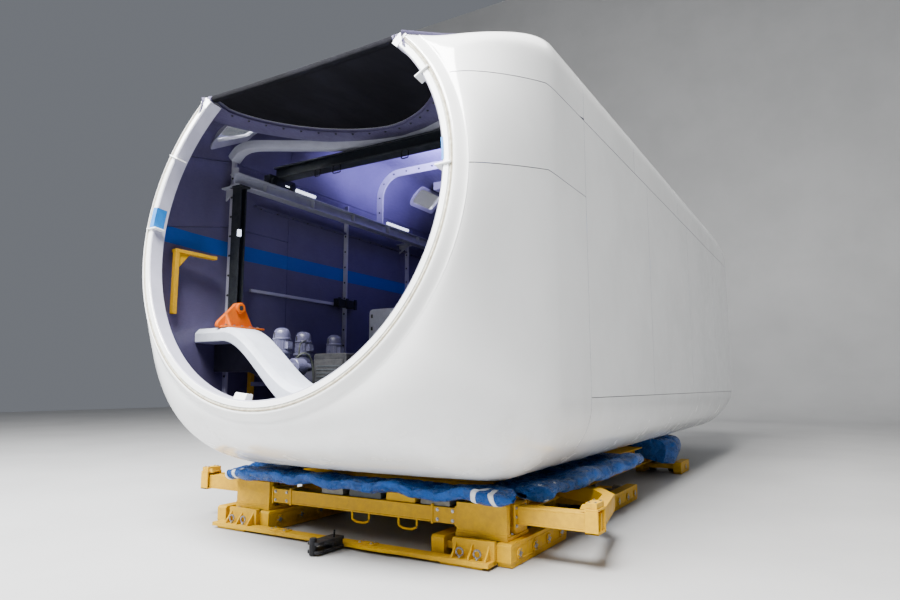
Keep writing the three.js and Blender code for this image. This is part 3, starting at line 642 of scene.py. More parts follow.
def gel_coat(colour):
    """Glossy white gel coat with a fine orange peel, slow waves and a little dust low down."""
    paint = Paint("gel_coat")
    cloud = paint.noise(0.9, 4.0)
    dust = paint.between(paint.z, 1.9, 0.7) * paint.between(paint.noise(3.0, 5.0, 0.6), 0.4, 0.75)
    pale = darker(colour, 0.93)
    tone = paint.mix(paint.between(cloud, 0.35, 0.7), colour, pale)
    tone = paint.mix(dust * 0.35, tone, (0.55, 0.53, 0.48))
    rough = paint.between(paint.noise(5.0, 4.0), 0.3, 0.8, 0.16, 0.24) + dust * 0.15
    waves = paint.noise(0.9, 1.0) * 0.8 + paint.noise(300.0, 1.0) * 0.02
    return paint.finish(tone, rough, waves, 0.002, coat_weight=0.5, coat_roughness=0.06)


def inner_face_painted_shade(colour, stripe, stripe_low, stripe_high):
    """Light grey inner face, rolled by hand, with a painted blue stripe along both walls."""
    paint = Paint("inner_face_painted_shade")
    fibres = paint.noise(60.0, 5.0, 0.7, (1.0, 0.15, 1.0))
    patch = paint.between(paint.noise(1.6, 5.0, 0.6), 0.3, 0.75)
    tone = paint.mix(patch, colour, darker(colour, 0.8))
    ragged = paint.z + (paint.noise(14.0, 3.0) - 0.5) * 0.006
    inside = paint.between(ragged, stripe_low - 0.003, stripe_low + 0.003)
    inside = inside * paint.between(ragged, stripe_high + 0.003, stripe_high - 0.003)
    wall = paint.between(paint.x.size(), 1.7, 1.75)
    behind_ring = paint.between(paint.y, RING_ROW_Y + 0.14, RING_ROW_Y + 0.16)
    tone = paint.mix(inside * wall * behind_ring, tone, stripe)
    rough = paint.between(fibres, 0.3, 0.7, 0.35, 0.6)
    return paint.finish(tone, rough, fibres + paint.noise(7.0, 3.0) * 2.0, 0.0015)


def painted(name, colour, worn, wear, rough, grain, dirt, metallic=0.0, shine=0.5):
    """Paint on metal: two tones, grime in patches, worn edges and an orange-peel bump."""
    paint = Paint(name)
    patch = paint.between(paint.noise(4.0, 5.0, 0.6), 0.3, 0.75)
    tone = paint.mix(patch, colour, darker(colour, 0.82))
    grime = paint.between(paint.noise(11.0, 6.0, 0.68), 0.52, 0.75) * dirt
    tone = paint.mix(grime, tone, [c * 0.35 + 0.02 for c in colour])
    tone = paint.mix(edge_wear(paint, wear), tone, worn)
    roughness = paint.between(paint.noise(9.0, 4.0), 0.3, 0.7, rough[0], rough[1]) + grime * 0.3
    peel = paint.noise(grain, 3.0) + grime * -0.6
    return paint.finish(tone, roughness, peel, 0.0012, metallic=metallic, specular_ior_level=shine)


def yellow_paint(colour):
    """Scuffed yellow paint with scratches down to the primer, dull dirty patches and rusty chips."""
    paint = Paint("yellow_paint")
    patch = paint.between(paint.noise(1.6, 4.0, 0.55), 0.3, 0.75)
    tone = paint.mix(patch, colour, [colour[0] * 0.93, colour[1] * 0.88, colour[2]])
    scratch = paint.between(paint.noise(26.0, 6.0, 0.75, (0.35, 1.0, 2.6)), 0.68, 0.72)
    grime = paint.between(paint.noise(9.0, 6.0, 0.7), 0.6, 0.82) * 0.5
    tone = paint.mix(grime, tone, (0.3, 0.17, 0.03))
    tone = paint.mix(scratch * 0.4, tone, (0.4, 0.25, 0.08))
    chips = edge_wear(paint, 0.35)
    tone = paint.mix(chips, tone, (0.2, 0.1, 0.05))
    rough = paint.between(paint.noise(12.0, 4.0), 0.3, 0.7, 0.42, 0.6) + grime * 0.3
    relief = paint.noise(70.0, 3.0) * 0.5 - scratch * 0.5 - chips
    return paint.finish(tone, rough, relief, 0.0012, specular_ior_level=0.12)


def plastic_sheet(colour):
    """Woven blue plastic sheet: a fine weave on its own map, creases, and pale scuffs on the folds."""
    paint = Paint("plastic_sheet")
    uv = paint.node("ShaderNodeTexCoord", out="UV")
    weave = paint.node(
        "ShaderNodeTexBrick",
        {"offset": 0.5},
        {"Vector": uv, "Scale": 160.0, "Mortar Size": 0.08, "Brick Width": 0.5, "Row Height": 0.5},
        out="Fac",
    )
    broad = (paint.noise(7.0, 3.0, 0.6) - 0.5).size() * -5.0
    fold = broad + (paint.noise(15.0, 3.0, 0.6) - 0.5).size() * -3.0
    crease_and_shade = paint.noise(9.0, 6.0, 0.62)
    # Darker where the crease relief is low: painted shade in the creases.
    tone = paint.mix(paint.between(crease_and_shade, 0.35, 0.72), darker(colour, 0.6), colour)
    # Lighter blue patches: pale scuffs and painted highlight on the folds.
    scuff_and_highlight = paint.between(paint.noise(16.0, 6.0, 0.7), 0.68, 0.84) * 0.2
    tone = paint.mix(scuff_and_highlight, tone, (0.06, 0.3, 0.62))
    rough = paint.between(crease_and_shade, 0.3, 0.7, 0.2, 0.36)
    relief = fold + crease_and_shade * 1.5 - weave * 0.06
    return paint.finish(tone, rough, relief, 0.012, specular_ior_level=0.35)


def black_sheet(colour):
    """Tight matt black sheet with a fine cloth grain and soft long wrinkles."""
    paint = Paint("black_sheet")
    grain = paint.cells(520.0)
    folds_and_sheen = paint.noise(2.5, 3.0, 0.5, (1.0, 0.5, 1.0))
    # Lighter on the raised wrinkles: painted sheen.
    tone = paint.mix(paint.between(folds_and_sheen, 0.4, 0.8), colour, darker(colour, 2.2))
    rough = paint.between(grain, 0.0, 0.6, 0.6, 0.9)
    return paint.finish(tone, rough, folds_and_sheen * 6.0 + grain * 0.1, 0.004, specular_ior_level=0.12)


def clear_pane(colour):
    """Clear plastic pane, slightly hazy, with fine dust."""
    paint = Paint("clear_pane")
    dust = paint.between(paint.noise(30.0, 5.0, 0.7), 0.5, 0.8)
    tone = paint.mix(dust * 0.4, colour, (0.8, 0.8, 0.78))
    rough = paint.between(paint.noise(8.0, 3.0), 0.3, 0.7, 0.03, 0.1) + dust * 0.1
    return paint.finish(tone, rough, paint.noise(3.0, 2.0), 0.001, transmission_weight=0.92)


def sealant(colour):
    """A hand-laid bead of sealant: beige, uneven, a little dirty."""
    paint = Paint("sealant")
    uneven = paint.noise(24.0, 5.0, 0.65)
    tone = paint.mix(paint.between(uneven, 0.35, 0.7), colour, darker(colour, 0.6))
    return paint.finish(tone, paint.between(uneven, 0.3, 0.7, 0.5, 0.8), uneven, 0.006)


def tape(name, colour):
    """Cloth tape: fine ribs and lighter scuffs."""
    paint = Paint(name)
    ribs = paint.noise(90.0, 4.0, 0.6, (1.0, 1.0, 8.0))
    tone = paint.mix(paint.between(paint.noise(12.0, 4.0), 0.35, 0.75), colour, darker(colour, 0.8))
    return paint.finish(tone, paint.between(ribs, 0.3, 0.7, 0.4, 0.6), ribs, 0.0008)


def bare_metal():
    """Zinc-plated steel: blotchy plating and dark rings of dirt."""
    paint = Paint("zinc_steel")
    blotch = paint.noise(60.0, 4.0, 0.6)
    tone = paint.mix(paint.between(blotch, 0.3, 0.7), (0.42, 0.43, 0.45), (0.22, 0.22, 0.24))
    return paint.finish(tone, paint.between(blotch, 0.3, 0.7, 0.25, 0.5), blotch, 0.0005, metallic=1.0)


def lit_tube():
    """A lit lamp tube: a glowing white with dimmer ends of its glass."""
    paint = Paint("lit_tube")
    cloud = paint.between(paint.noise(6.0, 2.0), 0.3, 0.7)
    tone = paint.mix(cloud, (0.8, 0.84, 1.0), (0.65, 0.7, 0.95))
    rough = paint.between(cloud, 0.0, 1.0, 0.3, 0.45)
    return paint.finish(tone, rough, emission_color=(0.8, 0.86, 1.0, 1.0), emission_strength=2.5)


def floor_finish(colour):
    """Pale sealed floor with soft cloudy patches."""
    paint = Paint("studio_floor")
    cloud = paint.noise(0.35, 5.0, 0.6)
    tone = paint.mix(paint.between(cloud, 0.3, 0.75), colour, darker(colour, 0.9))
    rough = paint.between(paint.noise(1.2, 4.0), 0.3, 0.7, 0.55, 0.6)
    return paint.finish(tone, rough, paint.noise(14.0, 4.0), 0.0006)


def paint_recipes(look):
    """What each paint on metal is made of, by its finish, in the order that painted() takes."""
    return {
        "casting": ("casting_paint", look.casting, (0.62, 0.64, 0.66), 0.35, (0.3, 0.5), 55.0, 0.2),
        # The motors are white; their paint is dark and violet: painted shade and painted violet light of the
        # dim interior.
        "motor": ("motor_paint", (0.085, 0.085, 0.15), (0.15, 0.15, 0.2), 0.3, (0.25, 0.4), 120.0, 0.15),
        "orange": ("orange_paint", look.orange, (0.35, 0.12, 0.04), 0.5, (0.3, 0.5), 80.0, 0.3, 0, 0.2),
        "steel": ("dark_grey_paint", look.steel, (0.06, 0.065, 0.07), 0.4, (0.45, 0.6), 90.0, 0.25, 0, 0.2),
        "black": ("black_paint", BLACK, (0.06, 0.06, 0.06), 0.4, (0.4, 0.65), 80.0, 0.3, 0, 0.2),
        "trim": ("light_grey_paint", (0.34, 0.35, 0.42), (0.3, 0.3, 0.3), 0.3, (0.3, 0.45), 110.0, 0.15),
        "lamp": ("lamp_white", (0.85, 0.86, 0.9), (0.6, 0.6, 0.6), 0.2, (0.25, 0.35), 130.0, 0.1),
        "pale": ("pale_flange", (0.42, 0.42, 0.52), (0.5, 0.5, 0.58), 0.2, (0.35, 0.5), 60.0, 0.15),
        # The web and saddle under the yoke: the grey casting painted near black as painted shade.
        "under": ("dark_casting", (0.035, 0.036, 0.045), (0.1, 0.1, 0.11), 0.2, (0.4, 0.6), 50.0, 0.3),
        "worn_steel": ("worn_steel", (0.12, 0.11, 0.08), (0.3, 0.28, 0.24), 0.5, (0.4, 0.6), 70.0, 0.5, 0.3),
    }


def finishes():
    """All the materials, made once from the panel's colours."""
    if not FINISHES:
        look = bpy.context.scene.nacelle_look
        for key, recipe in paint_recipes(look).items():
            FINISHES[key] = painted(*recipe)
        for name, colour in TAPES.items():
            FINISHES[name] = tape(name, colour)
        FINISHES.update(
            shell=gel_coat(look.shell),
            inner=inner_face_painted_shade(look.inner, look.stripe, look.stripe_low, look.stripe_high),
            yellow=yellow_paint(look.yellow),
            tarp=plastic_sheet(look.tarp),
            cover=black_sheet((0.004, 0.004, 0.006)),
            glass=clear_pane((0.86, 0.88, 0.9)),
            sealant=sealant((0.52, 0.5, 0.4)),
            zinc=bare_metal(),
            glow=lit_tube(),
        )
    return FINISHES


def linked(piece):
    """Puts an object into the scene and gives it back."""
    bpy.context.scene.collection.objects.link(piece)
    return piece


def made_smooth(mesh):
    """Shades a mesh smooth, but for its sharp edges."""
    mesh.shade_smooth()
    mesh.set_sharp_from_angle(angle=SHARP_ANGLE)


def make_piece(name, part, finish, replaces=(), body=HOUSING, bevel=0.0, wall=0, inner=None, uv=None):
    """Puts (points, faces) into a mesh with a finish, rides it on its body and names what it stands for.
    Every y of the points is counted from the ring. wall thickens it inwards; inner is that side's finish."""
    points, faces = part
    points = np.asarray(points, float) + np.array([0, RING_ROW_Y, 0])
    mesh = bpy.data.meshes.new(name)
    mesh.from_pydata(points.tolist(), [], faces)
    mesh.materials.append(finishes()[finish])
    if uv is not None:
        corner = np.zeros(len(mesh.loops), np.int32)
        mesh.loops.foreach_get("vertex_index", corner)
        mesh.uv_layers.new(name="UVMap").data.foreach_set("uv", uv[corner].ravel())
    made_smooth(mesh)
    piece = linked(bpy.data.objects.new(name, mesh))
    if wall:
        solid = piece.modifiers.new("wall", "SOLIDIFY")
        solid.thickness = wall
        solid.offset = -1
        solid.use_even_offset = True
        if inner:
            mesh.materials.append(finishes()[inner])
            solid.material_offset = 1
            solid.material_offset_rim = 1
    if bevel:
        edge = piece.modifiers.new("edges", "BEVEL")
        edge.width = bevel
        edge.segments = 2
        edge.limit_method = "ANGLE"
        edge.harden_normals = True
    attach(piece, body)
    if replaces:
        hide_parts(*replaces)
    return piece


def unchanged(part):
    """The part as it is, for the side on which it was drawn."""
    return part


def make_pair(name, part, finish, node, bevel):
    """The same piece on the right, as drawn, and mirrored on the left."""
    for side, turn in (("right", unchanged), ("left", mirrored)):
        make_piece(f"{name}_{side}", turn(part), finish, [f"{node}_{side}"], bevel=bevel)


def edit_mesh(piece, work):
    """Opens a piece's mesh for one step of work and writes it back."""
    shape = bmesh.new()
    shape.from_mesh(piece.data)
    work(shape)
    shape.to_mesh(piece.data)
    shape.free()


# The shell: every panel is an open surface given its wall by a modifier.


def shell_piece(name, part, replaces, inner="inner"):
    """One moulded panel of the housing: white outside, light grey inside."""
    return make_piece(name, part, "shell", replaces, wall=WALL, inner=inner, bevel=0.0015)


def as_left(half):
    """A right-hand surface mirrored to the left, its rows kept and its columns turned round."""
    return half[:, ::-1] * MIRROR


def side_band(rows, top, low, columns):
    """The part of the right half between two joints."""
    return band(rows, crossing(rows, top, -JOINT_GAP), crossing(rows, low, JOINT_GAP), columns)


def roof_middle(rows):
    """The place of the roof's middle in each row of a half section: its start."""
    return np.zeros(len(rows))


def bottom_middle(rows):
    """The place of the bottom's middle in each row of a half section: its end."""
    return np.full(len(rows), rows.shape[1] - 1.0)


def make_front_panels():
    """The four cheek panels round the ring, cut out of the bow surface along its joints."""
    bow = half_bow()
    lower_joint, upper_joint = front_joint(LOWER_JOINT_Z), front_joint(UPPER_JOINT_Z)
    lower = band(bow, crossing(bow, lower_joint, -JOINT_GAP), bottom_middle(bow), 70)
    middle = side_band(bow, upper_joint, lower_joint, 24)
    for name, node, half in (("chin", "front_lower", lower), ("cheek", "front_middle", middle)):
        shell_piece(f"{name}_right", skin(half), [f"{node}_right"])
        shell_piece(f"{name}_left", skin(as_left(half)), [f"{node}_left"])


def on_surface(surface, row, column):
    """Points of a surface at fractional rows and columns, by blending its four nearest points."""
    row = np.clip(row, 0, surface.shape[0] - 1.0001)
    column = np.clip(column, 0, surface.shape[1] - 1.0001)
    r, c = np.floor(row).astype(int), np.floor(column).astype(int)
    s, t = (row - r)[..., None], (column - c)[..., None]
    front = surface[r, c] * (1 - t) + surface[r, c + 1] * t
    back = surface[r + 1, c] * (1 - t) + surface[r + 1, c + 1] * t
    return front * (1 - s) + back * s


def find_on(surface, x, y, row, column):
    """The fractional row and column over each (x, y), by repeated steps down the surface's own slopes."""
    for _ in range(30):
        spot = on_surface(surface, row, column)
        ahead = (on_surface(surface, row + 0.5, column) - on_surface(surface, row - 0.5, column))[..., :2]
        aside = (on_surface(surface, row, column + 0.5) - on_surface(surface, row, column - 0.5))[..., :2]
        off_x, off_y = x - spot[..., 0], y - spot[..., 1]
        turn = ahead[..., 0] * aside[..., 1] - ahead[..., 1] * aside[..., 0]
        turn = np.where(np.abs(turn) < 1e-9, 1e-9, turn)
        row_step = (off_x * aside[..., 1] - off_y * aside[..., 0]) / turn
        column_step = (ahead[..., 0] * off_y - ahead[..., 1] * off_x) / turn
        row = np.clip(row + np.clip(row_step, -3, 3), 0, surface.shape[0] - 1)
        column = np.clip(column + np.clip(column_step, -3, 3), 0, surface.shape[1] - 1)
    return row, column


def front_roof_half():
    """The right half of the roof behind the ring, as rows of points from the upper joint inwards over the
    shoulder to the well, down its rounded wall, over the sunk deck and down the opening's edge. The rows run
    from the ring round to the middle at the back, and turn from the side to the back at a share of 0.62."""
    bow = half_bow()
    last = bow.shape[0] - 1.0
    joint = crossing(bow, front_joint(UPPER_JOINT_Z), JOINT_GAP)
    share = np.linspace(0, 1, ROOF_ALONG)
    turn_at = 0.62
    side, back = np.clip(share / turn_at, 0, 1), np.clip((share - turn_at) / (1 - turn_at), 0, 1)
    outer_row = side * last
    outer_column = np.interp(outer_row, np.arange(len(joint)), joint) * (1 - back)
    opening, wide = hatch_outline(0, 0, 90), hatch_outline(HATCH_FLANGE, HATCH_FRONT_FLANGE, 90)
    half = len(wide) // 2 + 1

    def along(outline):
        """The right half of an outline with its points set out along the same shares."""
        line = outline[:half]
        walk = np.r_[0, np.cumsum(np.hypot(*np.diff(line, axis=0).T))]
        at = np.interp(share, [0, turn_at, 1], [0, 0.55 * walk[-1], walk[-1]])
        return np.stack([np.interp(at, walk, line[:, 0]), np.interp(at, walk, line[:, 1])], axis=1)

    rim, edge = along(wide), along(opening)
    row, column = find_on(bow, rim[:, 0], rim[:, 1], 10 + 30 * share, 20 * (1 - share))
    across = np.linspace(0, 1, 36)[None] ** 0.8
    rows = outer_row[:, None] + (row - outer_row)[:, None] * across
    columns = outer_column[:, None] + (column - outer_column)[:, None] * across
    top = on_surface(bow, rows, columns)
    rim_z = np.maximum(top[:, -1, 2], DECK_Z + 0.01)
    inward = unit(edge - rim)
    height = np.minimum(rim_z - DECK_Z, 0.6)
    fillet = np.minimum(0.03, height * 0.4)
    turn = np.linspace(0, np.pi / 2, 6)[1:]
    over = np.stack([np.sin(turn), 1 - np.cos(turn)], axis=1)
    start = np.column_stack([rim, rim_z])
    step_in = fillet[:, None, None] * over[None, :, :1]
    step_down = fillet[:, None, None] * over[None, :, 1:]
    lip = np.concatenate([inward[:, None] * step_in, -step_down], axis=-1) + start[:, None]
    foot_z = DECK_Z + fillet
    base = np.column_stack([rim + inward * fillet[:, None], foot_z])[:, None]
    under = np.concatenate([inward[:, None] * step_down, -step_in], axis=-1) + base
    deck_start = under[:, -1:]
    deck_end = np.column_stack([edge, np.full(len(edge), DECK_Z)])[:, None]
    deck = deck_start + (deck_end - deck_start) * np.linspace(0.15, 0.99, 8)[None, :, None]
    drop = deck_end + np.array([[[0, 0, -0.002], [0, 0, -0.004]]])
    return np.concatenate([top, lip, base, under, deck, drop], axis=1)


def hole(part, centre, length, width, skew):
    """Leaves out the faces inside a skewed rectangle on the left shoulder, larger all round than the pane by
    the margin, and moves the points round the hole onto it."""
    length, width = length + 2 * SKYLIGHT_MARGIN, width + 2 * SKYLIGHT_MARGIN
    points, faces = np.array(part[0], float), part[1]
    tangent = np.array([1, 0, 1]) / np.sqrt(2)
    off = points - np.asarray(centre)
    lean = SKYLIGHT_LEAN if skew else 0.0
    across = off @ tangent - lean * off[:, 1]
    along = off[:, 1] - skew * across
    near = np.linalg.norm(off, axis=1) < length
    corners = np.array([[f[0], f[1], f[2], f[-1]] for f in faces])
    middle_across, middle_along = across[corners].mean(1), along[corners].mean(1)
    gone = near[corners].all(1) & (np.abs(middle_across) < width / 2) & (np.abs(middle_along) < length / 2)
    kept = [face for face, out in zip(faces, gone) if not out]
    border = np.intersect1d(corners[gone].ravel(), corners[~gone].ravel())
    side_gap = width / 2 - np.abs(across[border])
    end_gap = length / 2 - np.abs(along[border])
    to_side = np.abs(side_gap) < np.abs(end_gap)
    points[border] += np.where(to_side, side_gap * np.sign(across[border]), 0)[:, None] * tangent
    points[border, 1] += np.where(to_side, 0, end_gap * np.sign(along[border]))
    return loose_removed(points, kept)


def loose_removed(points, faces):
    """The points that some face uses, and the faces numbered afresh."""
    used = np.unique([i for face in faces for i in face])
    place = np.zeros(len(points), int)
    place[used] = np.arange(len(used))
    return points[used], [[int(place[i]) for i in face] for face in faces]


def make_front_roof():
    """The roof piece with the well, whose left and right halves share the row over the middle."""
    half = front_roof_half()
    left = hole(skin(half * MIRROR), *SKYLIGHTS["skylight_front"])
    piece = shell_piece("roof_front", joined(skin(half[:, ::-1]), left), ["front_roof"])
    edit_mesh(piece, lambda shape: bmesh.ops.remove_doubles(shape, verts=shape.verts, dist=1e-5))
    made_smooth(piece.data)


def bay_rows(start, end, count):
    """The stations of a panel between two joints, closer together where the rear end draws in."""
    share = np.linspace(0, 1, count)
    if end >= REAR_Y:
        share = np.sin(share * np.pi / 2)
    return start + JOINT_GAP + (end - JOINT_GAP - start - JOINT_GAP) * share


def make_bays():
    """The roof and side panels between their joints, the trough under them and the flat rear end."""
    roof_joint, bottom_joint = level(ROOF_JOINT_Z), level(BOTTOM_JOINT_Z)
    for number, (start, end) in enumerate(zip(BAY_Y, [*BAY_Y[1:], REAR_Y]), 1):
        rows = half_section(bay_rows(start, end, 40 if end < REAR_Y else 70))
        side = side_band(rows, roof_joint, bottom_joint, 34)
        shell_piece(f"side_right_{number}", skin(side), [f"side_panel_right_{number}"])
        shell_piece(f"side_left_{number}", skin(as_left(side)), [f"side_panel_left_{number}"])
    for number, (start, end) in enumerate(zip(ROOF_JOINT_Y, [*ROOF_JOINT_Y[1:], REAR_Y]), 1):
        rows = half_section(bay_rows(start, end, 60))
        part = skin(over_roof(band(rows, roof_middle(rows), crossing(rows, roof_joint, JOINT_GAP), 60)))
        if number == 2:
            part = hole(part, *SKYLIGHTS["skylight_rear"])
        shell_piece(f"roof_{number}", part, [f"roof_panel_{number}"])
    rows = half_section(bay_rows(BAY_Y[0], REAR_Y, 110))
    under = band(rows, crossing(rows, bottom_joint, -JOINT_GAP), bottom_middle(rows), 50)
    whole = np.concatenate([under, as_left(under)[:, 1:]], axis=1)
    shell_piece("bottom_trough", skin(whole), ["bottom_shell"])
    make_rear_end()


def make_rear_end():
    """The flat rear wall: rings that shrink towards its middle, the inner ones sunk by 20 mm, and a cap."""
    edge = half_section([REAR_Y - 0.002])[0]
    outline = np.vstack([edge, edge[-2:0:-1] * MIRROR])
    centre = np.array([0, REAR_Y, (outline[:, 2].max() + outline[:, 2].min()) / 2])
    scale = np.array([1, 0.985, 0.93, 0.9, 0.895, 0.6, 0.3, 0.02])
    back = np.where(scale < 0.9, -0.02, 0.0)
    rings = centre + (outline - centre) * scale[:, None, None] + back[:, None, None] * np.array([0, 1, 0])
    flat, faces = with_ends(skin(rings, close_columns=True), rings.shape[1])
    shell_piece("rear_end", (flat, faces[:-2] + faces[-1:]), ["rear_wall"])


def ring_sweep(profile, start, end, steps):
    """A closed profile of (radius, back) pairs carried round the ring from one angle to another."""
    angle = np.linspace(start, end, steps)
    return swept(np.stack([ring_point(angle, radius, back, DECK_Z) for radius, back in profile]))


def ring_end(radius):
    """The angle at which a circle of the ring reaches the deck."""
    return float(np.arccos((DECK_Z - RING_Z) / np.cos(RING_TILT) / radius))


def make_ring():
    """The moulded ring round the mouth: a narrow lip, a groove of sealant, and a flare that slopes back into
    the cheeks by a smooth step, with a grey cylinder inside."""
    share = np.linspace(0, 1, 13)
    flare = np.column_stack([1.914 + 0.096 * share, 0.08 * smooth_step(share)])
    lip = [(1.818, 0.008), (1.826, 0.0), (1.872, 0.0), (1.876, 0.01), (1.91, 0.01)]
    rear = [(2.0, 0.11), (1.96, 0.14), (1.9, 0.155), (1.822, 0.155), (1.818, 0.15)]
    end = ring_end(1.9)
    for name, profile, finish in (
        ("mouth_ring", [*lip, *flare, *rear], "shell"),
        ("ring_lining", [(1.81, 0.012), (1.8175, 0.004), (1.8175, 0.15), (1.81, 0.15)], "pale"),
        ("ring_sealant", [(1.877, 0.0095), (1.882, 0.003), (1.902, 0.002), (1.909, 0.0095)], "sealant"),
        # A thin dark brown line along the sealant groove: painted shade in the groove.
        ("sealant_groove_shade", [(1.896, 0.003), (1.897, 0.0), (1.9, 0.0), (1.901, 0.003)], "groove_shade_line"),
    ):
        make_piece(name, ring_sweep(profile, end, TAU - end, RING_STEPS), finish)


def ring_fittings():
    """The tabs and brackets on the ring's inside, and the pieces of blue tape on its lip."""
    tab = [(1.75, -0.02), (1.9, -0.02), (1.9, 0.002), (1.812, 0.002), (1.812, 0.1), (1.75, 0.1)]
    tabs = [ring_sweep(tab, angle - RING_TAB_HALF, angle + RING_TAB_HALF, 4) for angle in RING_TABS]
    foot = [(1.75, 0.05), (1.812, 0.03), (1.812, 0.12), (1.75, 0.12)]
    tabs.append(ring_sweep(foot, np.pi + 0.055, np.pi + 0.14, 5))
    ends = [(1.8, -0.004), (1.94, -0.004), (1.94, 0.01), (1.8, 0.01)]
    end = ring_end(1.9)
    tabs.append(ring_sweep(ends, end + 0.005, end + 0.05, 4))
    tabs.append(ring_sweep(ends, TAU - end - 0.05, TAU - end - 0.005, 4))
    make_piece("ring_tabs", joined(*tabs), "shell", bevel=0.006)
    strips = []
    for span, reach in BLUE_TAPES:
        outside = [(1.8085, 0.12), (1.8085, -0.003), (reach, -0.003)]
        strips.append(ring_sweep([*outside, (reach, 0.0005), (1.8095, 0.0005), (1.8095, 0.12)], *span, 12))
    make_piece("ring_tape", joined(*strips), "blue_tape")


def make_seals():
    """The dark seals behind the joints: thin bands just under the surface, along every joint."""
    depth, half = 0.012, 0.014
    roof, bottom = level(ROOF_JOINT_Z), level(BOTTOM_JOINT_Z)

    def lengthwise(rows, joint):
        """A band along a joint, half of it above and half below."""
        return skin(band(rows, crossing(rows, joint, half), crossing(rows, joint, -half), 4))

    def station(y):
        """Three rows round a joint that runs across the housing."""
        return half_section([y - half, y, y + half], depth)

    bow = half_bow(depth)
    straight = half_section(bay_rows(BAY_Y[0], REAR_Y - 0.02, 120), depth)
    strips = [lengthwise(bow, front_joint(pair)) for pair in (LOWER_JOINT_Z, UPPER_JOINT_Z)]
    strips += [lengthwise(straight, joint) for joint in (roof, bottom)]
    for y in BAY_Y:
        side = side_band(station(y), level(ROOF_JOINT_Z + 0.01), level(BOTTOM_JOINT_Z - 0.01), 60)
        strips.append(skin(side))
    for y in ROOF_JOINT_Y:
        rows = station(y)
        strips.append(skin(band(rows, roof_middle(rows), crossing(rows, roof, 0), 60)))
    rows = station(BAY_Y[0])
    strips.append(skin(band(rows, crossing(rows, bottom, 0), bottom_middle(rows), 60)))
    chin = bow[:, -3:] * 1.0
    chin[:, :, 0] = np.array([half, half / 2, 0])
    strips.append(skin(chin))
    make_piece("joint_seals", both(joined(*strips)), "dark_rubber", wall=0.006)


def cover_half(y, margin):
    """Half the width of the roof opening, with a margin, at y."""
    line = hatch_outline(margin)
    line = line[: len(line) // 2 + 1]
    return np.interp(y, line[:, 1], line[:, 0])


def make_roof_cover():
    """The tight black sheet over the roof opening: it sags a little, by 1 - x squared across, and its front
    hem wraps round the rail."""
    top = DECK_Z + 0.005
    share = np.linspace(0, 1, 60)
    reach = HATCH_END_Y + COVER_MARGIN - 0.004 - COVER_FRONT_Y
    y = COVER_FRONT_Y + reach * np.sin(share * np.pi / 2)
    half = cover_half(y, COVER_MARGIN)
    across = np.linspace(-1, 1, 61)
    x = half[:, None] * across[None]
    sag = COVER_SAG * (1 - across[None] ** 2) * (1 - smooth_step(share * 1.3))[:, None]
    body = np.stack([x, y[:, None] + 0 * x, top - sag + 0 * x], axis=-1)
    hem = []
    for back, drop, inset in (
        (0.24, -0.052, 0.09),
        (0.205, -0.053, 0.09),
        (0.178, -0.05, 0.09),
        (0.172, -0.04, 0.09),
        (0.172, -0.006, 0.09),
        (0.178, 0.0, 0),
        (0.2, 0.003, 0),
    ):
        x = (half[0] - inset) * across
        hem.append(np.column_stack([x, back + 0 * x, top + drop - COVER_SAG * (1 - across**2)]))
    whole = np.concatenate([np.stack(hem), body])
    piece = make_piece("black_cover", skin(whole), "cover", ["roof_cover"], wall=0.0015)
    rail = block((-1.1797, 1.1797), (0.18, 0.23), (DECK_Z - 0.042, DECK_Z - 0.012))
    make_piece("cover_rail", rail, "trim", ["roof_cover_rail"], bevel=0.006)
    edge = bent(hatch_outline(0.05), 0.2)[1:-1]
    heads = bolts([(x, y, DECK_Z - DECK_WALL) for x, y in edge], DOWN, *SMALL_BOLT)
    make_piece("opening_bolts", heads, "dark_rubber")


def shoulder_points(surface, centre, s, t, skew):
    """Points of the left shoulder, set on the surface at t along y and s across the slope. The search goes
    over the surface as seen square to the slope, and starts from the nearest of its own points."""
    along = t + skew * s
    across = s + (SKYLIGHT_LEAN if skew else 0.0) * along
    turned_up = (centre[0] * -1 - surface[..., 0] + surface[..., 2] - centre[2]) / np.sqrt(2)
    seen = np.stack([turned_up, surface[..., 1] - centre[1], surface[..., 2]], axis=-1)
    low = np.where(surface[..., 2] < SHOULDER_LOW_Z, 9.0, 0.0)
    off = np.hypot(seen[..., 0] - across[..., None, None], seen[..., 1] - along[..., None, None]) + low
    row, column = np.unravel_index(off.reshape(*along.shape, -1).argmin(axis=-1), surface.shape[:2])
    row, column = find_on(seen, across, along, row.astype(float), column.astype(float))
    return on_surface(surface, row, column) * MIRROR


def make_skylights():
    """The two clear panes in the left shoulder, each in a rounded moulded frame."""
    stations = np.linspace(5.0, 6.5, 40)
    s, t = np.meshgrid(np.linspace(-1, 1, 15), np.linspace(-1, 1, 21))
    jobs = [("skylight_front", half_bow), ("skylight_rear", lambda wall: half_section(stations, wall))]
    for name, surface in jobs:
        centre, length, width, skew = SKYLIGHTS[name]
        pane = shoulder_points(surface(0.02), centre, s * width / 2, t * length / 2, skew)
        word = name.replace("skylight", "pane")
        make_piece(word, skin(pane[::-1]), "glass", [name], wall=0.006)
        rows = []
        for wall, wider in ((-0.006, -0.012), (-0.006, 0.045), (0.052, 0.045), (0.052, -0.012)):
            across, along = width / 2 + wider, length / 2 + wider
            corners = [(-across, -along), (across, -along), (across, along), (-across, along)]
            line = rounded(corners, 0.07, 8)
            rows.append(shoulder_points(surface(wall), centre, line[:, 0], line[:, 1], skew))
        part = skin(np.stack(rows), close_rows=True, close_columns=True)
        piece = make_piece(word + "_frame", part, "pale", bevel=BEVEL)
        edit_mesh(piece, lambda shape: bmesh.ops.recalc_face_normals(shape, faces=shape.faces))


# Inside the housing.


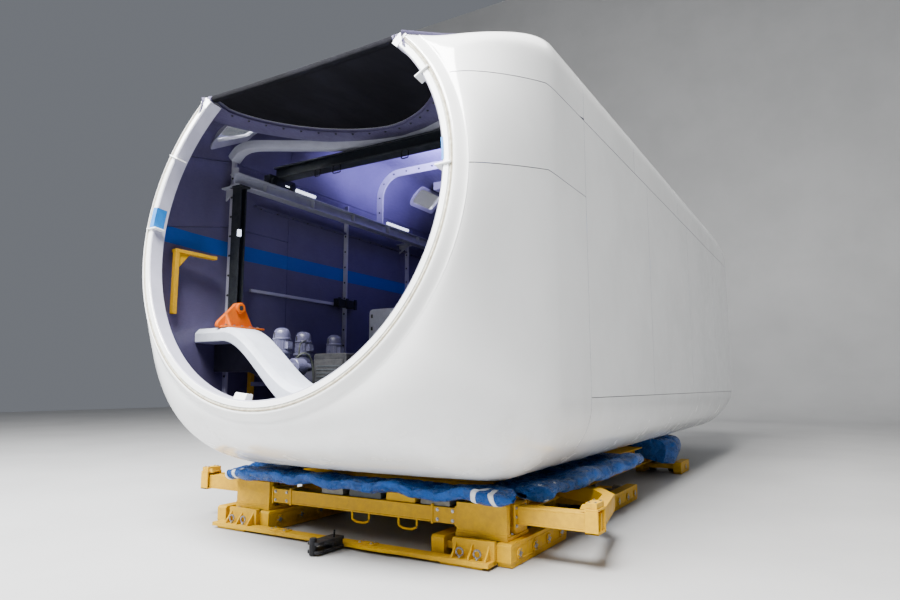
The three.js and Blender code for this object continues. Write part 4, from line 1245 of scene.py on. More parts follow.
def bed_height(x):
    """The top of the bed frame: level near the walls, then an S down to its middle."""
    share = np.minimum((1 - np.minimum(np.abs(x), BED_SHOULDER) / BED_SHOULDER) * BED_SLOPE, 1)
    return BED_EDGE_Z - (BED_EDGE_Z - BED_MIDDLE_Z) * smooth_step(share)


def along_bed(profile, count=121, deeper=0.0):
    """A closed profile of (y, z below the bed's top) pairs carried along x from wall to wall, following the
    bed's S. deeper adds to the depth of its lower points towards the middle."""
    profile = np.asarray(profile, float)
    halves = np.array([inner_half(y, BED_EDGE_Z + min(down, 0)) for y, down in profile])
    x = halves[:, None] * np.linspace(-1, 1, count)[None]
    lowness = profile[:, 1:] < profile[:, 1].min() / 2
    middle = smooth_step(1 - np.abs(x) / BED_SHOULDER)
    z = bed_height(x) + profile[:, 1:] - deeper * middle * lowness
    y = np.broadcast_to(profile[:, :1], z.shape)
    return swept(np.stack([x, y, z], axis=-1))


def make_bed_frame():
    """The yoke with its chamfered front edge, and behind it the dark web, saddle plate and yaw drum."""
    front, rear = BED_FRONT_Y, YOKE_REAR_Y
    chamfer = [
        (front + 0.012, -BED_THICK), (front, -BED_THICK + 0.012), (front, -0.06),
        (front + 0.008, -0.05), (front + 0.065, -0.004), (front + 0.075, 0), (rear - 0.02, 0),
        (rear, -0.02), (rear, -BED_THICK),
    ]
    corner = block((1.66, inner_half(rear, 2.1)), (rear - 0.02, 1.45), (BED_EDGE_Z - BED_THICK, BED_EDGE_Z))
    yoke = joined(along_bed(chamfer, deeper=0.1), both(corner))
    make_piece("bed_yoke", yoke, "casting", ["bed_frame"], bevel=0.008)
    foot = BED_DROP + BED_THICK
    web = along_bed([(1.13, -0.1), (1.13, -foot), (1.25, -foot), (1.25, -0.1)])
    saddle = along_bed([(1.2, -BED_DROP), (1.2, -foot), (BED_REAR_Y, -foot), (BED_REAR_Y, -BED_DROP)])
    # Web and saddle in near black: painted shade under the yoke.
    make_piece("bed_saddle", joined(web, saddle), "under", bevel=0.01)
    rib_z = (BED_EDGE_Z - foot, BED_EDGE_Z - BED_DROP + 0.16)
    make_yaw_drum()
    ribs = joined(*[block((x - 0.012, x + 0.012), (1.25, 1.75), rib_z) for x in (1.72, 1.98)])
    make_piece("bed_ribs", both(ribs), "casting", bevel=BEVEL)


def make_yaw_drum():
    """The yaw drum on the seat: a turned profile of its inner wall, foot and outer wall, closed on top."""
    outer, inner = YAW_DRUM_RADIUS, YAW_DRUM_RADIUS - 0.12
    low, high = DECK_TOP_Z + 0.001, BED_MIDDLE_Z + 0.2
    profile = [
        (inner, high), (inner, low), (outer, low), (outer, low + 0.05), (outer - 0.03, low + 0.06),
        (outer - 0.03, high - 0.3), (outer + 0.02, high - 0.28), (outer + 0.02, high - 0.2),
        (outer - 0.02, high - 0.18), (outer - 0.02, high),
    ]
    flat, faces = turned(profile, (0, YAW_Y, 0), sides=DRUM_SIDES)
    rim = len(flat) - DRUM_SIDES
    following = [(i + 1) % DRUM_SIDES for i in range(DRUM_SIDES)]
    seal = [[rim + i, rim + after, after, i] for i, after in enumerate(following)]
    make_piece("yaw_drum", (flat, faces[:-2] + seal), "casting")


def make_lifting_lug():
    """The orange lug: a plate that runs to the rear, with a pierced boss, a gusset and a bolted foot."""
    base, eye = BED_EDGE_Z + 0.0003, (-1.72, 1.12, 2.52)
    outline = [(0.805, base), (1.36, base), (1.33, 2.31), (1.19, 2.545), (1.12, 2.585), (1.06, 2.565)]
    plate = prism(rounded([*outline, (0.81, 2.33)], 0.03), "x", -1.745, -1.695)
    ring = [(0.03, -0.058), (0.055, -0.058), (0.065, -0.05), (0.065, 0.05), (0.055, 0.058), (0.03, 0.058)]
    points, faces = turned([*ring, ring[0]], eye, "x", 28)
    side = [(-1.71, base), (-1.6, base), (-1.62, base + 0.03), (-1.7, 2.45), (-1.71, 2.45)]
    foot = block((-1.745, -1.605), (0.85, 1.44), (base, base + 0.025))
    parts = joined(plate, (points, faces[:-2]), prism(side, "y", 0.915, 0.945), foot)
    make_piece("orange_lug", parts, "orange", ["lifting_lug"], bevel=0.006)
    places = [(-1.64, y, base + 0.025) for y in (0.88, 1.0, 1.12, 1.24, 1.36)]
    make_piece("lug_bolts", bolts(places, UP, 0.016, 0.016), "zinc")
    # A black plug in the boss's hole: painted shade inside the bore.
    bore = turned([(0.028, -0.059), (0.028, 0.059)], eye, "x", 28)
    make_piece("lug_bore_painted_shade", bore, "black")


def drive_motor():
    """One motor with its middle on the z axis: a gear case, a body with 20 fins, a round hood and a box."""
    down = [
        (0.12, -0.6), (0.12, -0.45), (0.15, -0.44), (0.15, -0.41), (0.1, -0.4), (0.1, -0.305),
        (0.12, -0.3), (0.12, -0.275), (0.096, -0.27), (0.096, -0.145), (0.106, -0.14),
        (0.106, -0.125), (0.098, -0.12), (0.098, -0.085), (0.09, -0.045), (0.07, -0.018),
        (0.04, -0.004),
    ]
    top = DRIVE_TOP_Z
    profile = [(0, top - 0.6), *[(radius, top + drop) for radius, drop in down], (0.0, top)]
    points, faces = block((0.094, 0.103), (-0.003, 0.003), (top - 0.26, top - 0.15))
    angle = np.arange(20) * TAU / 20
    turns = np.stack([np.cos(angle), -np.sin(angle), np.sin(angle), np.cos(angle)], axis=1).reshape(-1, 2, 2)
    fins = [(np.column_stack([points[:, :2] @ turn.T, points[:, 2]]), faces) for turn in turns]
    box = block((0.09, 0.14), (-0.04, 0.04), (top - 0.25, top - 0.17))
    return joined(turned(profile, (0, 0, 0), sides=32), *fins, box)


def make_yaw_drives():
    """Three domed motors on each side on round plates and a strip, each hood with two vents."""
    top = DRIVE_TOP_Z
    slot_z = ((top - 0.1, top - 0.06), (top - 0.14, top - 0.105))
    slots = [((-0.03, -0.012), (-0.1, -0.085), z) for z in slot_z]
    places = [(x, y, 0) for x, y in DRIVE_PLACES]
    plate = turned([(0.0, 0), (0.19, 0), (0.19, 0.03), (0, 0.03)], (0, 0, top - 0.63), sides=32)
    strip = block((-1.6, -1.1), (1.25, 2.65), (top - 0.68, top - 0.63))
    motors = joined(repeated(drive_motor(), places), repeated(plate, places), strip)
    # Black blocks on each hood: painted shade of the vent openings.
    shaded_vents = repeated(blocks(*slots), places)
    for side, turn in (("left", unchanged), ("right", mirrored)):
        make_piece(f"yaw_motors_{side}", turn(motors), "motor", [f"yaw_drives_{side}"], bevel=0.002)
        make_piece(f"yaw_vents_painted_shade_{side}", turn(shaded_vents), "black")
    make_hoses()


def make_hoses():
    """The two hoses beside the motors on the left, and the small pump in front of them."""
    rise = [
        (-1.07, 1.42, 1.62), (-1.07, 1.42, 1.86), (-1.05, 1.44, 1.95), (-0.98, 1.5, 2.0),
        (-0.95, 1.6, 1.9), (-0.95, 1.62, 1.6),
    ]
    second = [(-1.2, 1.62, 1.7), (-1.2, 1.62, 2.0), (-1.21, 1.65, 2.12), (-1.26, 1.8, 2.16)]
    hoses = [tube(bent(smooth_path(line), 0.02), radius) for line, radius in ((rise, 0.012), (second, 0.01))]
    make_piece("yaw_hoses", joined(*hoses), "dark_rubber")
    body = [(0, 0), (0.09, 0), (0.1, 0.01), (0.1, 0.16), (0.06, 0.18), (0, 0.18)]
    shaft = [(0, 0), (0.05, 0), (0.05, 0.3), (0, 0.3)]
    pump = joined(turned(body, (-1.02, 1.33, 1.82), "y", 28), turned(shaft, (-1.02, 1.3, 1.82), "y", 20))
    make_piece("yaw_pump", pump, "motor", bevel=BEVEL)


def make_cabinets():
    """The pale rounded cabinet with its door and latches, and the low black unit with its slots."""
    face = rounded([(-1.44, 2.02), (-0.96, 1.7), (-0.96, 2.71), (-1.44, 2.71)], 0.07, 6)
    door = rounded([(-1.4, 2.1), (-1.0, 1.9), (-1.0, 2.66), (-1.4, 2.66)], 0.05, 6)
    cabinet = joined(prism(face, "y", 3.3, 3.9), prism(door, "y", 3.285, 3.3))
    make_piece("pale_cabinet", cabinet, "lamp", ["control_cabinet"], bevel=0.006)
    latches = blocks(*[((-1.385, -1.365), (3.27, 3.29), (z, z + 0.05)) for z in (2.2, 2.4, 2.58)])
    make_piece("cabinet_latches", latches, "dark_rubber")
    body = rounded([(-0.8, 1.4), (-0.32, 1.3), (-0.32, 1.97), (-0.8, 1.97)], 0.03, 4)
    unit_box = joined(prism(body, "y", 1.45, 2.05), block((-0.76, -0.36), (1.435, 1.45), (1.62, 1.9)))
    make_piece("black_unit", unit_box, "black", ["brake_unit"], bevel=0.006)
    slots = [((-0.74, -0.38), (1.428, 1.436), (z, z + 0.012)) for z in (1.66, 1.7, 1.74, 1.78, 1.82)]
    make_piece("unit_slots", blocks(*slots), "steel")


def i_section(half_wide, low, high, flange=0.014, web=0.012):
    """The outline of an I-beam: pairs of across and height."""
    w, f = half_wide, flange
    right = [(w, low), (w, low + f), (web / 2, low + f), (web / 2, high - f), (w, high - f), (w, high)]
    return [*right, *[(-x, z) for x, z in right[::-1]]]


def make_crane():
    """The crane: two I-beam rails on wall brackets, a column under the front of each, and the bridge."""
    low, high = RAIL_Z
    rail = prism([(x + RAIL_X, z) for x, z in i_section(0.08, low, high)], "y", *RAIL_Y)
    stop_y = (RAIL_Y[0], RAIL_Y[1] - 0.05)
    stops = [block((RAIL_X - 0.05, RAIL_X + 0.05), (y, y + 0.025), (high, high + 0.07)) for y in stop_y]
    bracket_y = (COLUMN_Y, BAY_Y[1], BAY_Y[2], RAIL_Y[1] - 0.2)
    arms = [block((RAIL_X + 0.05, INNER_HALF), (y - 0.09, y + 0.09), (low - 0.02, low)) for y in bracket_y]
    knee = [(RAIL_X, low), (INNER_HALF, low - 0.16), (INNER_HALF, low)]
    webs = [prism(knee, "y", y - 0.01, y + 0.01) for y in bracket_y]
    plate_x, plate_z = (RAIL_X - 0.07, RAIL_X + 0.07), (low + 0.012, high - 0.012)
    stiff = [block(plate_x, (y - 0.005, y + 0.005), plate_z) for y in np.arange(1.6, 10.3, 0.9)]
    beam = joined(rail, *stops, *arms, *webs, *stiff)
    end_x, end_y = (RAIL_X - 0.1, RAIL_X + 0.1), (COLUMN_Y - 0.08, COLUMN_Y + 0.08)
    outline = [(x + RAIL_X, y) for x, y in i_section(0.075, COLUMN_Y - 0.05, COLUMN_Y + 0.05)]
    foot = block(end_x, end_y, (BED_EDGE_Z + 0.001, BED_EDGE_Z + 0.025))
    head = block(end_x, end_y, (low - 0.025, low - 0.001))
    post = joined(prism(outline, "z", BED_EDGE_Z + 0.02, low - 0.02), foot, head)
    for side, turn in (("left", mirrored), ("right", unchanged)):
        make_piece(f"crane_beam_{side}", turn(beam), "trim", [f"crane_rail_{side}"], bevel=0.003)
        make_piece(f"crane_post_{side}", turn(post), "steel", [f"crane_column_{side}"], bevel=0.003)
    make_bridge()
    glass = turned([(0, 0), (0.022, 0), (0.022, 0.6), (0, 0.6)], (0, 0, 0), "y", 16)
    tubes = repeated(glass, [(-RAIL_X + 0.03, y, high + 0.05) for y in (1.95, 4.3)])
    lamps = joined(tubes, block((-1.81, -1.78), (1.13, 1.17), (3.42, 3.5)))
    make_piece("tube_lamps", lamps, "glow")


def make_bridge():
    """The bridge that runs on the rails: an I-beam across, a plate with two wheels over each rail, and the
    small hooks below."""
    low, high = BRIDGE_Z
    rail_top, reach = RAIL_Z[1], RAIL_X + 0.04
    beam = prism([(y + BRIDGE_Y, z) for y, z in i_section(0.09, low, high, 0.022, 0.08)], "x", -reach, reach)
    front, rear, bottom, top = BRIDGE_Y - 0.24, BRIDGE_Y + 0.24, rail_top + 0.008, low + 0.02
    plate = rounded([(front, bottom), (rear, bottom), (rear, top), (front, top)], 0.03)
    ends = both(prism(plate, "x", RAIL_X - 0.05, RAIL_X + 0.05))
    wheel = turned([(0, -0.02), (0.045, -0.02), (0.05, 0), (0.045, 0.02), (0, 0.02)], (0, 0, 0), "x", 24)
    places = [(s * (RAIL_X - 0.065), BRIDGE_Y + y, rail_top + 0.052) for s in (-1, 1) for y in (-0.17, 0.17)]
    parts = joined(beam, ends, repeated(wheel, places))
    make_piece("bridge_beam", parts, "steel", ["crane_bridge"], body=BRIDGE, bevel=0.003)
    hooks, y = [], BRIDGE_Y - 0.09
    for x, wide, deep in ((-1.2, 0.09, 0.09), (-0.9, 0.13, 0.1), (0.15, 0.1, 0.1)):
        corners = [(x, y, low), (x, y, low - deep), (x + wide, y, low - deep), (x + wide, y, low)]
        hooks.append(tube(bent(rounded(corners, 0.02), 0.02), 0.008, 8))
    make_piece("bridge_hooks", joined(*hooks), "black", body=BRIDGE)


def frame_rib(y, depth=0.07, low_z=1.2, high_z=4.5):
    """Two bolted flanges that follow the wall at one station, between two heights, on both sides."""
    thick, gap = 0.012, 0.002
    outer, inner = wall_rows(y, WALL + 0.001), wall_rows(y, WALL + depth)
    keep = (outer[:, 1] > low_z) & (outer[:, 1] < high_z) & (outer[:, 0] > 0.5)
    outer, inner = outer[keep], inner[keep]
    flanges = []
    for start in (y - thick - gap, y + gap):
        corners = ((outer, start), (inner, start), (inner, start + thick), (outer, start + thick))
        rows = [np.column_stack([line[:, 0], np.full(len(line), at), line[:, 1]]) for line, at in corners]
        flanges.append(swept(np.stack(rows)))
    line = bent((outer + inner) / 2, 0.24)[1:-1]
    heads = bolts([(x, y - thick - gap, z) for x, z in line], FORWARD, *SMALL_BOLT)
    return both(joined(*flanges)), both(heads)


def make_wall_ribs():
    """The bolted joints inside, the rail along each wall with its bracket, and the blue stripe's ledge."""
    ribs, heads = zip(*[frame_rib(y) for y in (1.3, 3.56, 5.25, 7.9, 10.6)])
    make_piece("wall_flanges", joined(*ribs), "pale")
    make_piece("wall_bolts", joined(*heads), "dark_rubber")
    x = INNER_HALF
    strip = block((x - 0.03, x - 0.003), (1.67, 3.83), (2.82, 2.86))
    make_piece("wall_strip", both(strip), "pale", bevel=0.003)
    teeth = [((x - 0.12, x - 0.1), (y, y + 0.05), (2.78, 2.94)) for y in (3.32, 3.5, 3.7)]
    clip = blocks(((x - 0.1, x - 0.03), (3.3, 3.78), (2.8, 2.92)), *teeth)
    make_piece("wall_clip", both(clip), "steel", bevel=0.003)
    ledge = blocks(*[((x - 0.05, x - 0.001), (1.7, 12.4), z) for z in ((3.962, 3.974), (3.978, 3.99))])
    make_piece("wall_ledge", both(ledge), "inner")
    heads = bolts([(x - 0.025, y, 3.962) for y in np.arange(1.8, 12.2, 0.3)], DOWN, 0.01, 0.012)
    make_piece("ledge_bolts", both(heads), "dark_rubber")


def make_arch():
    """The moulded arch behind the roof opening: a band that bends from wall to wall, and the bolted flanges
    and the wide plate that cross the roof behind it."""
    right = smooth_path(ARCH_HALF)
    right[:, 0] = [min(x, inner_half(y, z) - 0.075) for x, y, z in right]
    line = bent(np.vstack([right[::-1] * MIRROR, right[1:]]), 0.05)
    down = unit(np.cross(unit(np.gradient(line, axis=0)), [0, 1, 0]))
    down *= np.where(down[:, 2:] > 0, -1, 1)
    profile = [
        (0.07, -0.06), (0.0, -0.05), (-0.012, 0.0), (0.0, 0.05), (0.02, 0.06), (0.12, 0.06),
        (0.16, 0.02), (0.16, -0.06),
    ]
    rows = [line + np.array([0, back, 0]) + down * drop for back, drop in profile]
    make_piece("roof_arch", skin(np.stack(rows), close_rows=True), "trim")
    ribs, rib_heads = zip(*[frame_rib(y, 0.12, 4.25, ROOF_Z) for y in (4.4, 7.2)])
    make_piece("roof_ribs", joined(*ribs), "pale")
    top = ROOF_Z - WALL
    flanges = blocks(
        ((-0.6, 0.6), (4.386, 4.398), (top - 0.12, top)),
        ((-0.6, 0.6), (4.402, 4.414), (top - 0.12, top)),
        ((-1.6, 1.6), (5.3, 5.5), (top - 0.14, top)),
        ((-0.6, 0.6), (7.186, 7.214), (top - 0.12, top)),
    )
    make_piece("roof_flanges", flanges, "pale", bevel=0.02)
    heads = bolts([(x, 4.386, top - 0.06) for x in np.arange(-0.36, 0.4, 0.24)], FORWARD, *SMALL_BOLT)
    make_piece("roof_bolts", joined(heads, *rib_heads), "dark_rubber")


def make_small_fittings():
    """The yellow brackets and posts in the front corners, and the grey bolted beam under the bed."""
    x = inner_half(0.38, 2.4)
    brackets = joined(
        block((x - 0.06, x), (0.38, 0.43), (2.4, 3.1)),
        block((x - 0.06, x + 0.02), (0.38, 0.95), (3.1, 3.14)),
        prism([(0.43, 3.1), (0.58, 3.1), (0.43, 2.92)], "x", x - 0.04, x - 0.02),
        block((1.88, 1.94), (1.5, 1.56), (1.15, 1.78)),
        block((1.34, 1.42), (1.5, 1.58), (0.98, 1.78)),
    )
    make_piece("yellow_brackets", both(brackets), "yellow", bevel=BEVEL)
    beam = both(block((1.2, 2.08), (1.3, 1.36), (1.84, 1.94)))
    make_piece("grey_beam", beam, "casting", bevel=0.006)
    heads = bolts([(-1.93, 1.3, 1.89), (-1.86, 1.3, 1.89)], FORWARD, 0.02, 0.02)
    make_piece("beam_bolts", heads, "dark_rubber")


# The transport frame.


def disc(centre, radius, depth, axis="x", sides=28):
    """A round plate with a small chamfer, its middle at the centre."""
    half, cut = depth / 2, min(0.006, depth / 4)
    low = [(0, -half), (radius - cut, -half), (radius, cut - half)]
    return turned([*low, (radius, half - cut), (radius - cut, half), (0, half)], centre, axis, sides)


def truck(low, high):
    """One right-hand truck: two side boxes with raking ends, a web between them, wheels and axle caps."""
    outline = [
        (low + 0.03, 0.004), (high - 0.03, 0.004), (high, 0.05), (high, TRUCK_TOP - 0.02),
        (high - 0.02, TRUCK_TOP), (low + 0.02, TRUCK_TOP), (low, TRUCK_TOP - 0.02), (low, 0.05),
    ]
    inner, outer = TRUCK_X
    boxes = joined(prism(outline, "x", inner, inner + 0.14), prism(outline, "x", outer - 0.14, outer))
    web = block((inner + 0.1, outer - 0.1), (low + 0.06, high - 0.06), (0.09, 0.16))
    lip_x = ((inner - 0.004, inner + 0.004), (outer - 0.004, outer + 0.004))
    lip_y = (low + 0.03, high - 0.03)
    lips = [block(x, lip_y, (z, z + 0.012)) for x in lip_x for z in (0.045, 0.165)]
    long_truck = high - low > 1
    axles = [low + 0.17, low + 0.52, high - 0.52, high - 0.17] if long_truck else [(low + high) / 2]
    caps, pins = [], []
    for y in axles:
        for x, turn in ((inner, -1), (outer, 1)):
            caps.append(disc((x + turn * 0.006, y, AXLE_Z), 0.052, 0.014))
            pins.append(disc((x + turn * 0.014, y, AXLE_Z), 0.026, 0.012, sides=20))
            round_it = [(0.04 * np.cos(a), 0.04 * np.sin(a)) for a in np.arange(6) * TAU / 6]
            spots = [(x + turn * 0.013, y + across, AXLE_Z + up) for across, up in round_it]
            pins.append(bolts(spots, (turn, 0, 0), 0.005, 0.006))
    wheels = [turned(WHEEL, (x, y, WHEEL_Z), "x", 40) for y in axles for x in (inner + 0.24, outer - 0.24)]
    return joined(boxes, web, *lips, *caps), joined(*pins), joined(*wheels)


def moved(part, shift):
    """The same part shifted along x."""
    points, faces = part
    return np.asarray(points) + np.array([shift, 0, 0]), faces


def make_trucks():
    """The six wheel trucks under the frame."""
    for word, low, high in TRUCK_SPANS:
        body, pins, wheels = truck(low, high)
        for side, shift in (("right", 0), ("left", TRUCK_SHIFT)):
            end = f"{word}_{side}"
            box, node = moved(body, shift), f"truck_{end}"
            make_piece(f"truck_box_{end}", box, "yellow", [node], bevel=BEVEL)
            make_piece(f"truck_pins_{end}", moved(pins, shift), "zinc")
            make_piece(f"truck_wheels_{end}", moved(wheels, shift), "worn_steel")


def make_pedestals():
    """The two pedestals on the front trucks: a box in two parts with a recess between, a ledge and bolts."""
    (left, right), (low, high), deck = PEDESTAL_X, PEDESTAL_Y, DECK_TOP_Z
    parts = blocks(
        ((left, right), (low, high), (TRUCK_TOP + 0.001, 0.245)),
        ((left + 0.008, right - 0.008), (low + 0.008, low + 0.075), (0.265, deck)),
        ((left + 0.06, right - 0.06), (low + 0.07, low + 0.2), (0.245, deck - 0.004)),
        ((left + 0.008, right - 0.008), (low + 0.19, high - 0.008), (0.245, deck)),
        ((left + 0.004, right - 0.004), (low + 0.003, low + 0.09), (0.245, 0.267)),
        ((left + 0.05, right - 0.05), (low + 0.06, low + 0.21), (0.3, 0.32)),
    )
    make_pair("pedestal_box", parts, "yellow", "pedestal", BEVEL)
    spots = [(x, y, 0.245) for x in (left + 0.03, right - 0.03) for y in (low + 0.11, low + 0.16)]
    make_piece("pedestal_bolts", both(bolts(spots, UP, 0.011, 0.014)), "zinc")


def beam_along_y(x, y, z, web=0.03, flange=0.022):
    """An I-beam along y, with a stiffening plate every 0.75 m."""
    middle, half = (x[0] + x[1]) / 2, (x[1] - x[0]) / 2
    beam = prism([(middle + at, up) for at, up in i_section(half, *z, flange, web)], "y", *y)
    plate_x, plate_z = (x[0] + 0.01, x[1] - 0.01), (z[0] + flange, z[1] - flange)
    ribs = [block(plate_x, (at, at + 0.014), plate_z) for at in np.arange(y[0] + 0.3, y[1], 0.75)]
    return joined(beam, *ribs)


def make_beams():
    """The long side beams, the cross beams in front and behind, and the seat under the yaw drum."""
    beam = beam_along_y(SIDE_BEAM_X, (PEDESTAL_Y[1] + 0.001, 9.13), (TRUCK_TOP + 0.001, DECK_TOP_Z))
    make_pair("long_beam", beam, "yellow", "side_beam", 0.003)
    reach = PEDESTAL_X[0] - 0.001
    plate_x = (-reach + 0.013, -0.93, 0.93, reach - 0.013)
    front = blocks(
        ((-reach + 0.02, reach - 0.02), (1.28, 1.48), (0.3, 0.45)),
        *[((x - 0.012, x + 0.012), (1.27, 1.49), (0.285, 0.47)) for x in plate_x],
        *[((-0.9, 0.9), (1.274, 1.28), (z, z + 0.016)) for z in (0.3, 0.434)],
    )
    make_piece("front_beam", front, "yellow", ["cross_beam_front"], bevel=BEVEL)
    ring = [(x, 1.28, 0.375 + dz) for x in (-1.16, -0.99, 0.99, 1.16) for dz in (-0.045, 0.045)]
    make_piece("beam_ring_bolts", bolts(ring, FORWARD, 0.012, 0.014), "zinc")
    grips = []
    for x in (-0.07, 0.52):
        corners = [(x, 1.3, 0.301), (x, 1.3, 0.2), (x + 0.22, 1.3, 0.2), (x + 0.22, 1.3, 0.301)]
        grips.append(tube(bent(smooth_path(corners, 1), 0.02), 0.011))
    make_piece("beam_grips", joined(*grips), "yellow")
    for number, (start, end, finish) in enumerate(BEAM_PADS, 1):
        corners = [(start, 0.4505), (end, 0.4505), (end - 0.01, 0.535), (start + 0.01, 0.535)]
        pad = prism(rounded(corners, 0.012, 3), "y", 1.3, 1.46)
        make_piece(f"beam_pad_{number}", pad, finish, bevel=BEVEL)
    seat_x, seat_z, top_z = (-SEAT_HALF, SEAT_HALF), (0.36, 0.5), (0.5, DECK_TOP_Z)
    flanges = [((-0.97, 0.97), (2.52, 4.88), z) for z in (ARM_LOW, top_z)]
    seat = blocks((seat_x, (2.5, 4.9), seat_z), *flanges)
    make_piece("drum_seat", seat, "yellow", ["yaw_seat"], bevel=BEVEL)
    flanges = [(seat_x, (8.53, 8.75), z) for z in (ARM_LOW, top_z)]
    plates = [((x, x + 0.02), (8.54, 8.74), seat_z) for x in (-0.97, -0.4, 0.38, 0.95)]
    rear = blocks(*flanges, (seat_x, (8.63, 8.65), seat_z), *plates)
    make_piece("rear_beam", rear, "yellow", ["cross_beam_rear"], bevel=0.003)


def three_layers(layer):
    """An I-shape of a web and two flanges, each made by the given function from its two heights."""
    return joined(*[layer(*heights) for heights in (ARM_WEB, ARM_LOW, ARM_TOP)])


def make_outriggers():
    """The arms behind the pedestals: a beam that reaches out, a flanged post and a bent arm back."""
    (x0, x1), (y0, y1), (z0, z1) = POST_X, POST_Y, POST_Z
    neck = z1 - 0.07
    parts = joined(
        three_layers(lambda low, high: block((1.7553, 2.44), (1.41, 1.56), (low, high))),
        block((1.7553, 1.775), (1.36, 1.61), (0.3, 0.52)),
        block(POST_X, (y0, y0 + 0.02), (z0, neck)),
        block(POST_X, (y1 - 0.02, y1), (z0, neck)),
        block((x0 + 0.045, x0 + 0.075), (y0 + 0.02, y1 - 0.02), (z0, neck)),
        block(POST_X, POST_Y, (neck, z1 - 0.05)),
        block((x0 + 0.005, x1 - 0.01), (y0 + 0.01, y1 - 0.01), (z1 - 0.05, z1)),
        block(POST_X, POST_Y, (z0, z0 + 0.018)),
        block((x0 + 0.005, x1 - 0.005), (y0 + 0.002, y0 + 0.024), (z0 + 0.09, z0 + 0.11)),
        prism([(2.375, 0.53), (2.44, 0.53), (2.44, 0.575), (2.4, 0.575)], "y", 1.4, 1.43),
        three_layers(lambda low, high: prism(RETURN_ARM, "z", low, high)),
    )
    make_pair("outreach", parts, "yellow", "outrigger", BEVEL)
    spots = [(1.775, y, z) for y in (1.385, 1.585) for z in (0.33, 0.41, 0.49)]
    heads = bolts(spots, (1, 0, 0), 0.012, 0.014)
    corners = [(x, y, z1) for x in (x0 + 0.03, x1 - 0.03) for y in (y0 + 0.04, y1 - 0.04)]
    tops = bolts(corners, UP, 0.009, 0.01)
    make_piece("outreach_bolts", both(joined(heads, tops)), "zinc")


def make_tie_bar():
    """The flat bar in front: its three lengths, their feet, the standing plates, gussets and eye bolts."""
    (low, high), top = TIE_BAR_Y, TIE_BAR_Z[1]
    shifts = (0, TRUCK_SHIFT)
    lengths = [block(x, TIE_BAR_Y, TIE_BAR_Z) for x in ((-1.86, -0.87), (-0.865, 0.3), (0.305, 1.68))]
    splices = [block(x, (low + 0.02, high - 0.02), (top, top + 0.012)) for x in ((-1.0, -0.74), (0.2, 0.42))]
    nose = prism([(0.08, low), (0.3, low - 0.03), (0.55, low - 0.03), (0.8, low)], "z", 0.03, 0.058)
    feet = [block((1.18 + shift, 1.61 + shift), (1.015, 1.11), (0.005, 0.026)) for shift in shifts]
    plates = [block((1.25 + shift, 1.68 + shift), (1.12, 1.1697), (0.025, 0.225)) for shift in shifts]
    side = [(high - 0.02, top), (low + 0.03, top), (low + 0.035, top + 0.015), (1.12, 0.19), (1.125, 0.19)]
    gusset_x = [x + shift for shift in shifts for x in (1.29, 1.46, 1.63)]
    gussets = [prism(side, "x", x - 0.009, x + 0.009) for x in gusset_x]
    parts = joined(*lengths, *splices, nose, *feet, *plates, *gussets)
    make_piece("tie_plate", parts, "yellow", ["tie_bar"], bevel=BEVEL)
    rings, nuts = [], []
    angle = np.linspace(0, TAU, 25)
    for x in (1.36, 1.54, 1.36 + TRUCK_SHIFT, 1.54 + TRUCK_SHIFT):
        loop = np.column_stack([x + 0.035 * np.cos(angle), 0 * angle + 1.06, 0.12 + 0.035 * np.sin(angle)])
        rings.append(tube(loop, 0.009, 8))
        nuts.append(disc((x, 1.06, 0.072), 0.016, 0.016, "z", 6))
    spots = [(x, y, top + 0.012) for x in (-0.96, -0.78, 0.24, 0.38) for y in (1.04, 1.1)]
    nuts.append(bolts(spots, UP, *SMALL_BOLT))
    make_piece("tie_eyes", joined(*rings, *nuts), "zinc")
    make_coupling()


def make_coupling():
    """The black towing clamp: two jaws on a block, the pin through their noses and a bent lever."""
    lower, upper, across = (0.02, 0.05), (0.1, 0.13), (-0.075, 0.075)
    along, web = (0.72, 0.9997), ((-0.06, 0.06), (0.86, 0.9997), (0.05, 0.1))
    jaws = blocks((across, along, lower), (across, along, upper), web)
    nose = rounded([(-0.075, 0.62), (0.075, 0.62), (0.075, 0.73), (-0.075, 0.73)], 0.04, 6)
    profile = [(0, 0.005), (0.03, 0.005), (0.035, 0.012), (0.035, 0.16), (0.028, 0.17), (0, 0.17)]
    lever = smooth_path([(0.03, 0.9, 0.13), (0.07, 0.86, 0.2), (0.12, 0.8, 0.22)], 2)
    parts = joined(
        jaws,
        prism(nose, "z", *lower),
        prism(nose, "z", *upper),
        turned(profile, (0, 0.635, 0), "z", 28),
        tube(bent(lever, 0.02), 0.01),
    )
    make_piece("coupling_jaw", parts, "black", ["coupling"], bevel=0.005)


# The folded blue sheets, and the tape round them.


def creases(rows, columns, seed, folds=30):
    """A field of creases between 0 and 1: the mean of many folds that run along the sheet at a slant, each a
    wave sharpened to a ridge, 1 - |sin|, over a part of the length, with its own pitch, slant and start."""
    chance = np.random.default_rng(seed)
    u, v = np.meshgrid(np.linspace(0, 1, columns), np.linspace(0, 1, rows))
    field = np.zeros((rows, columns))
    weights = 0.0
    for _ in range(folds):
        pitch = chance.uniform(1.5, 8)
        slant = chance.uniform(-5, 5)
        weight = 1 / pitch**0.7
        middle, width = chance.uniform(0, 1), chance.uniform(0.05, 0.25)
        here = np.exp(-(((v - middle) / width) ** 2))
        wave = np.sin(np.pi * pitch * (u + slant * v) + chance.uniform(0, 7))
        field += weight * here * (1 - np.abs(wave)) ** 1.6
        weights += weight * 0.3
    return np.clip(field / weights, 0, 1.4)


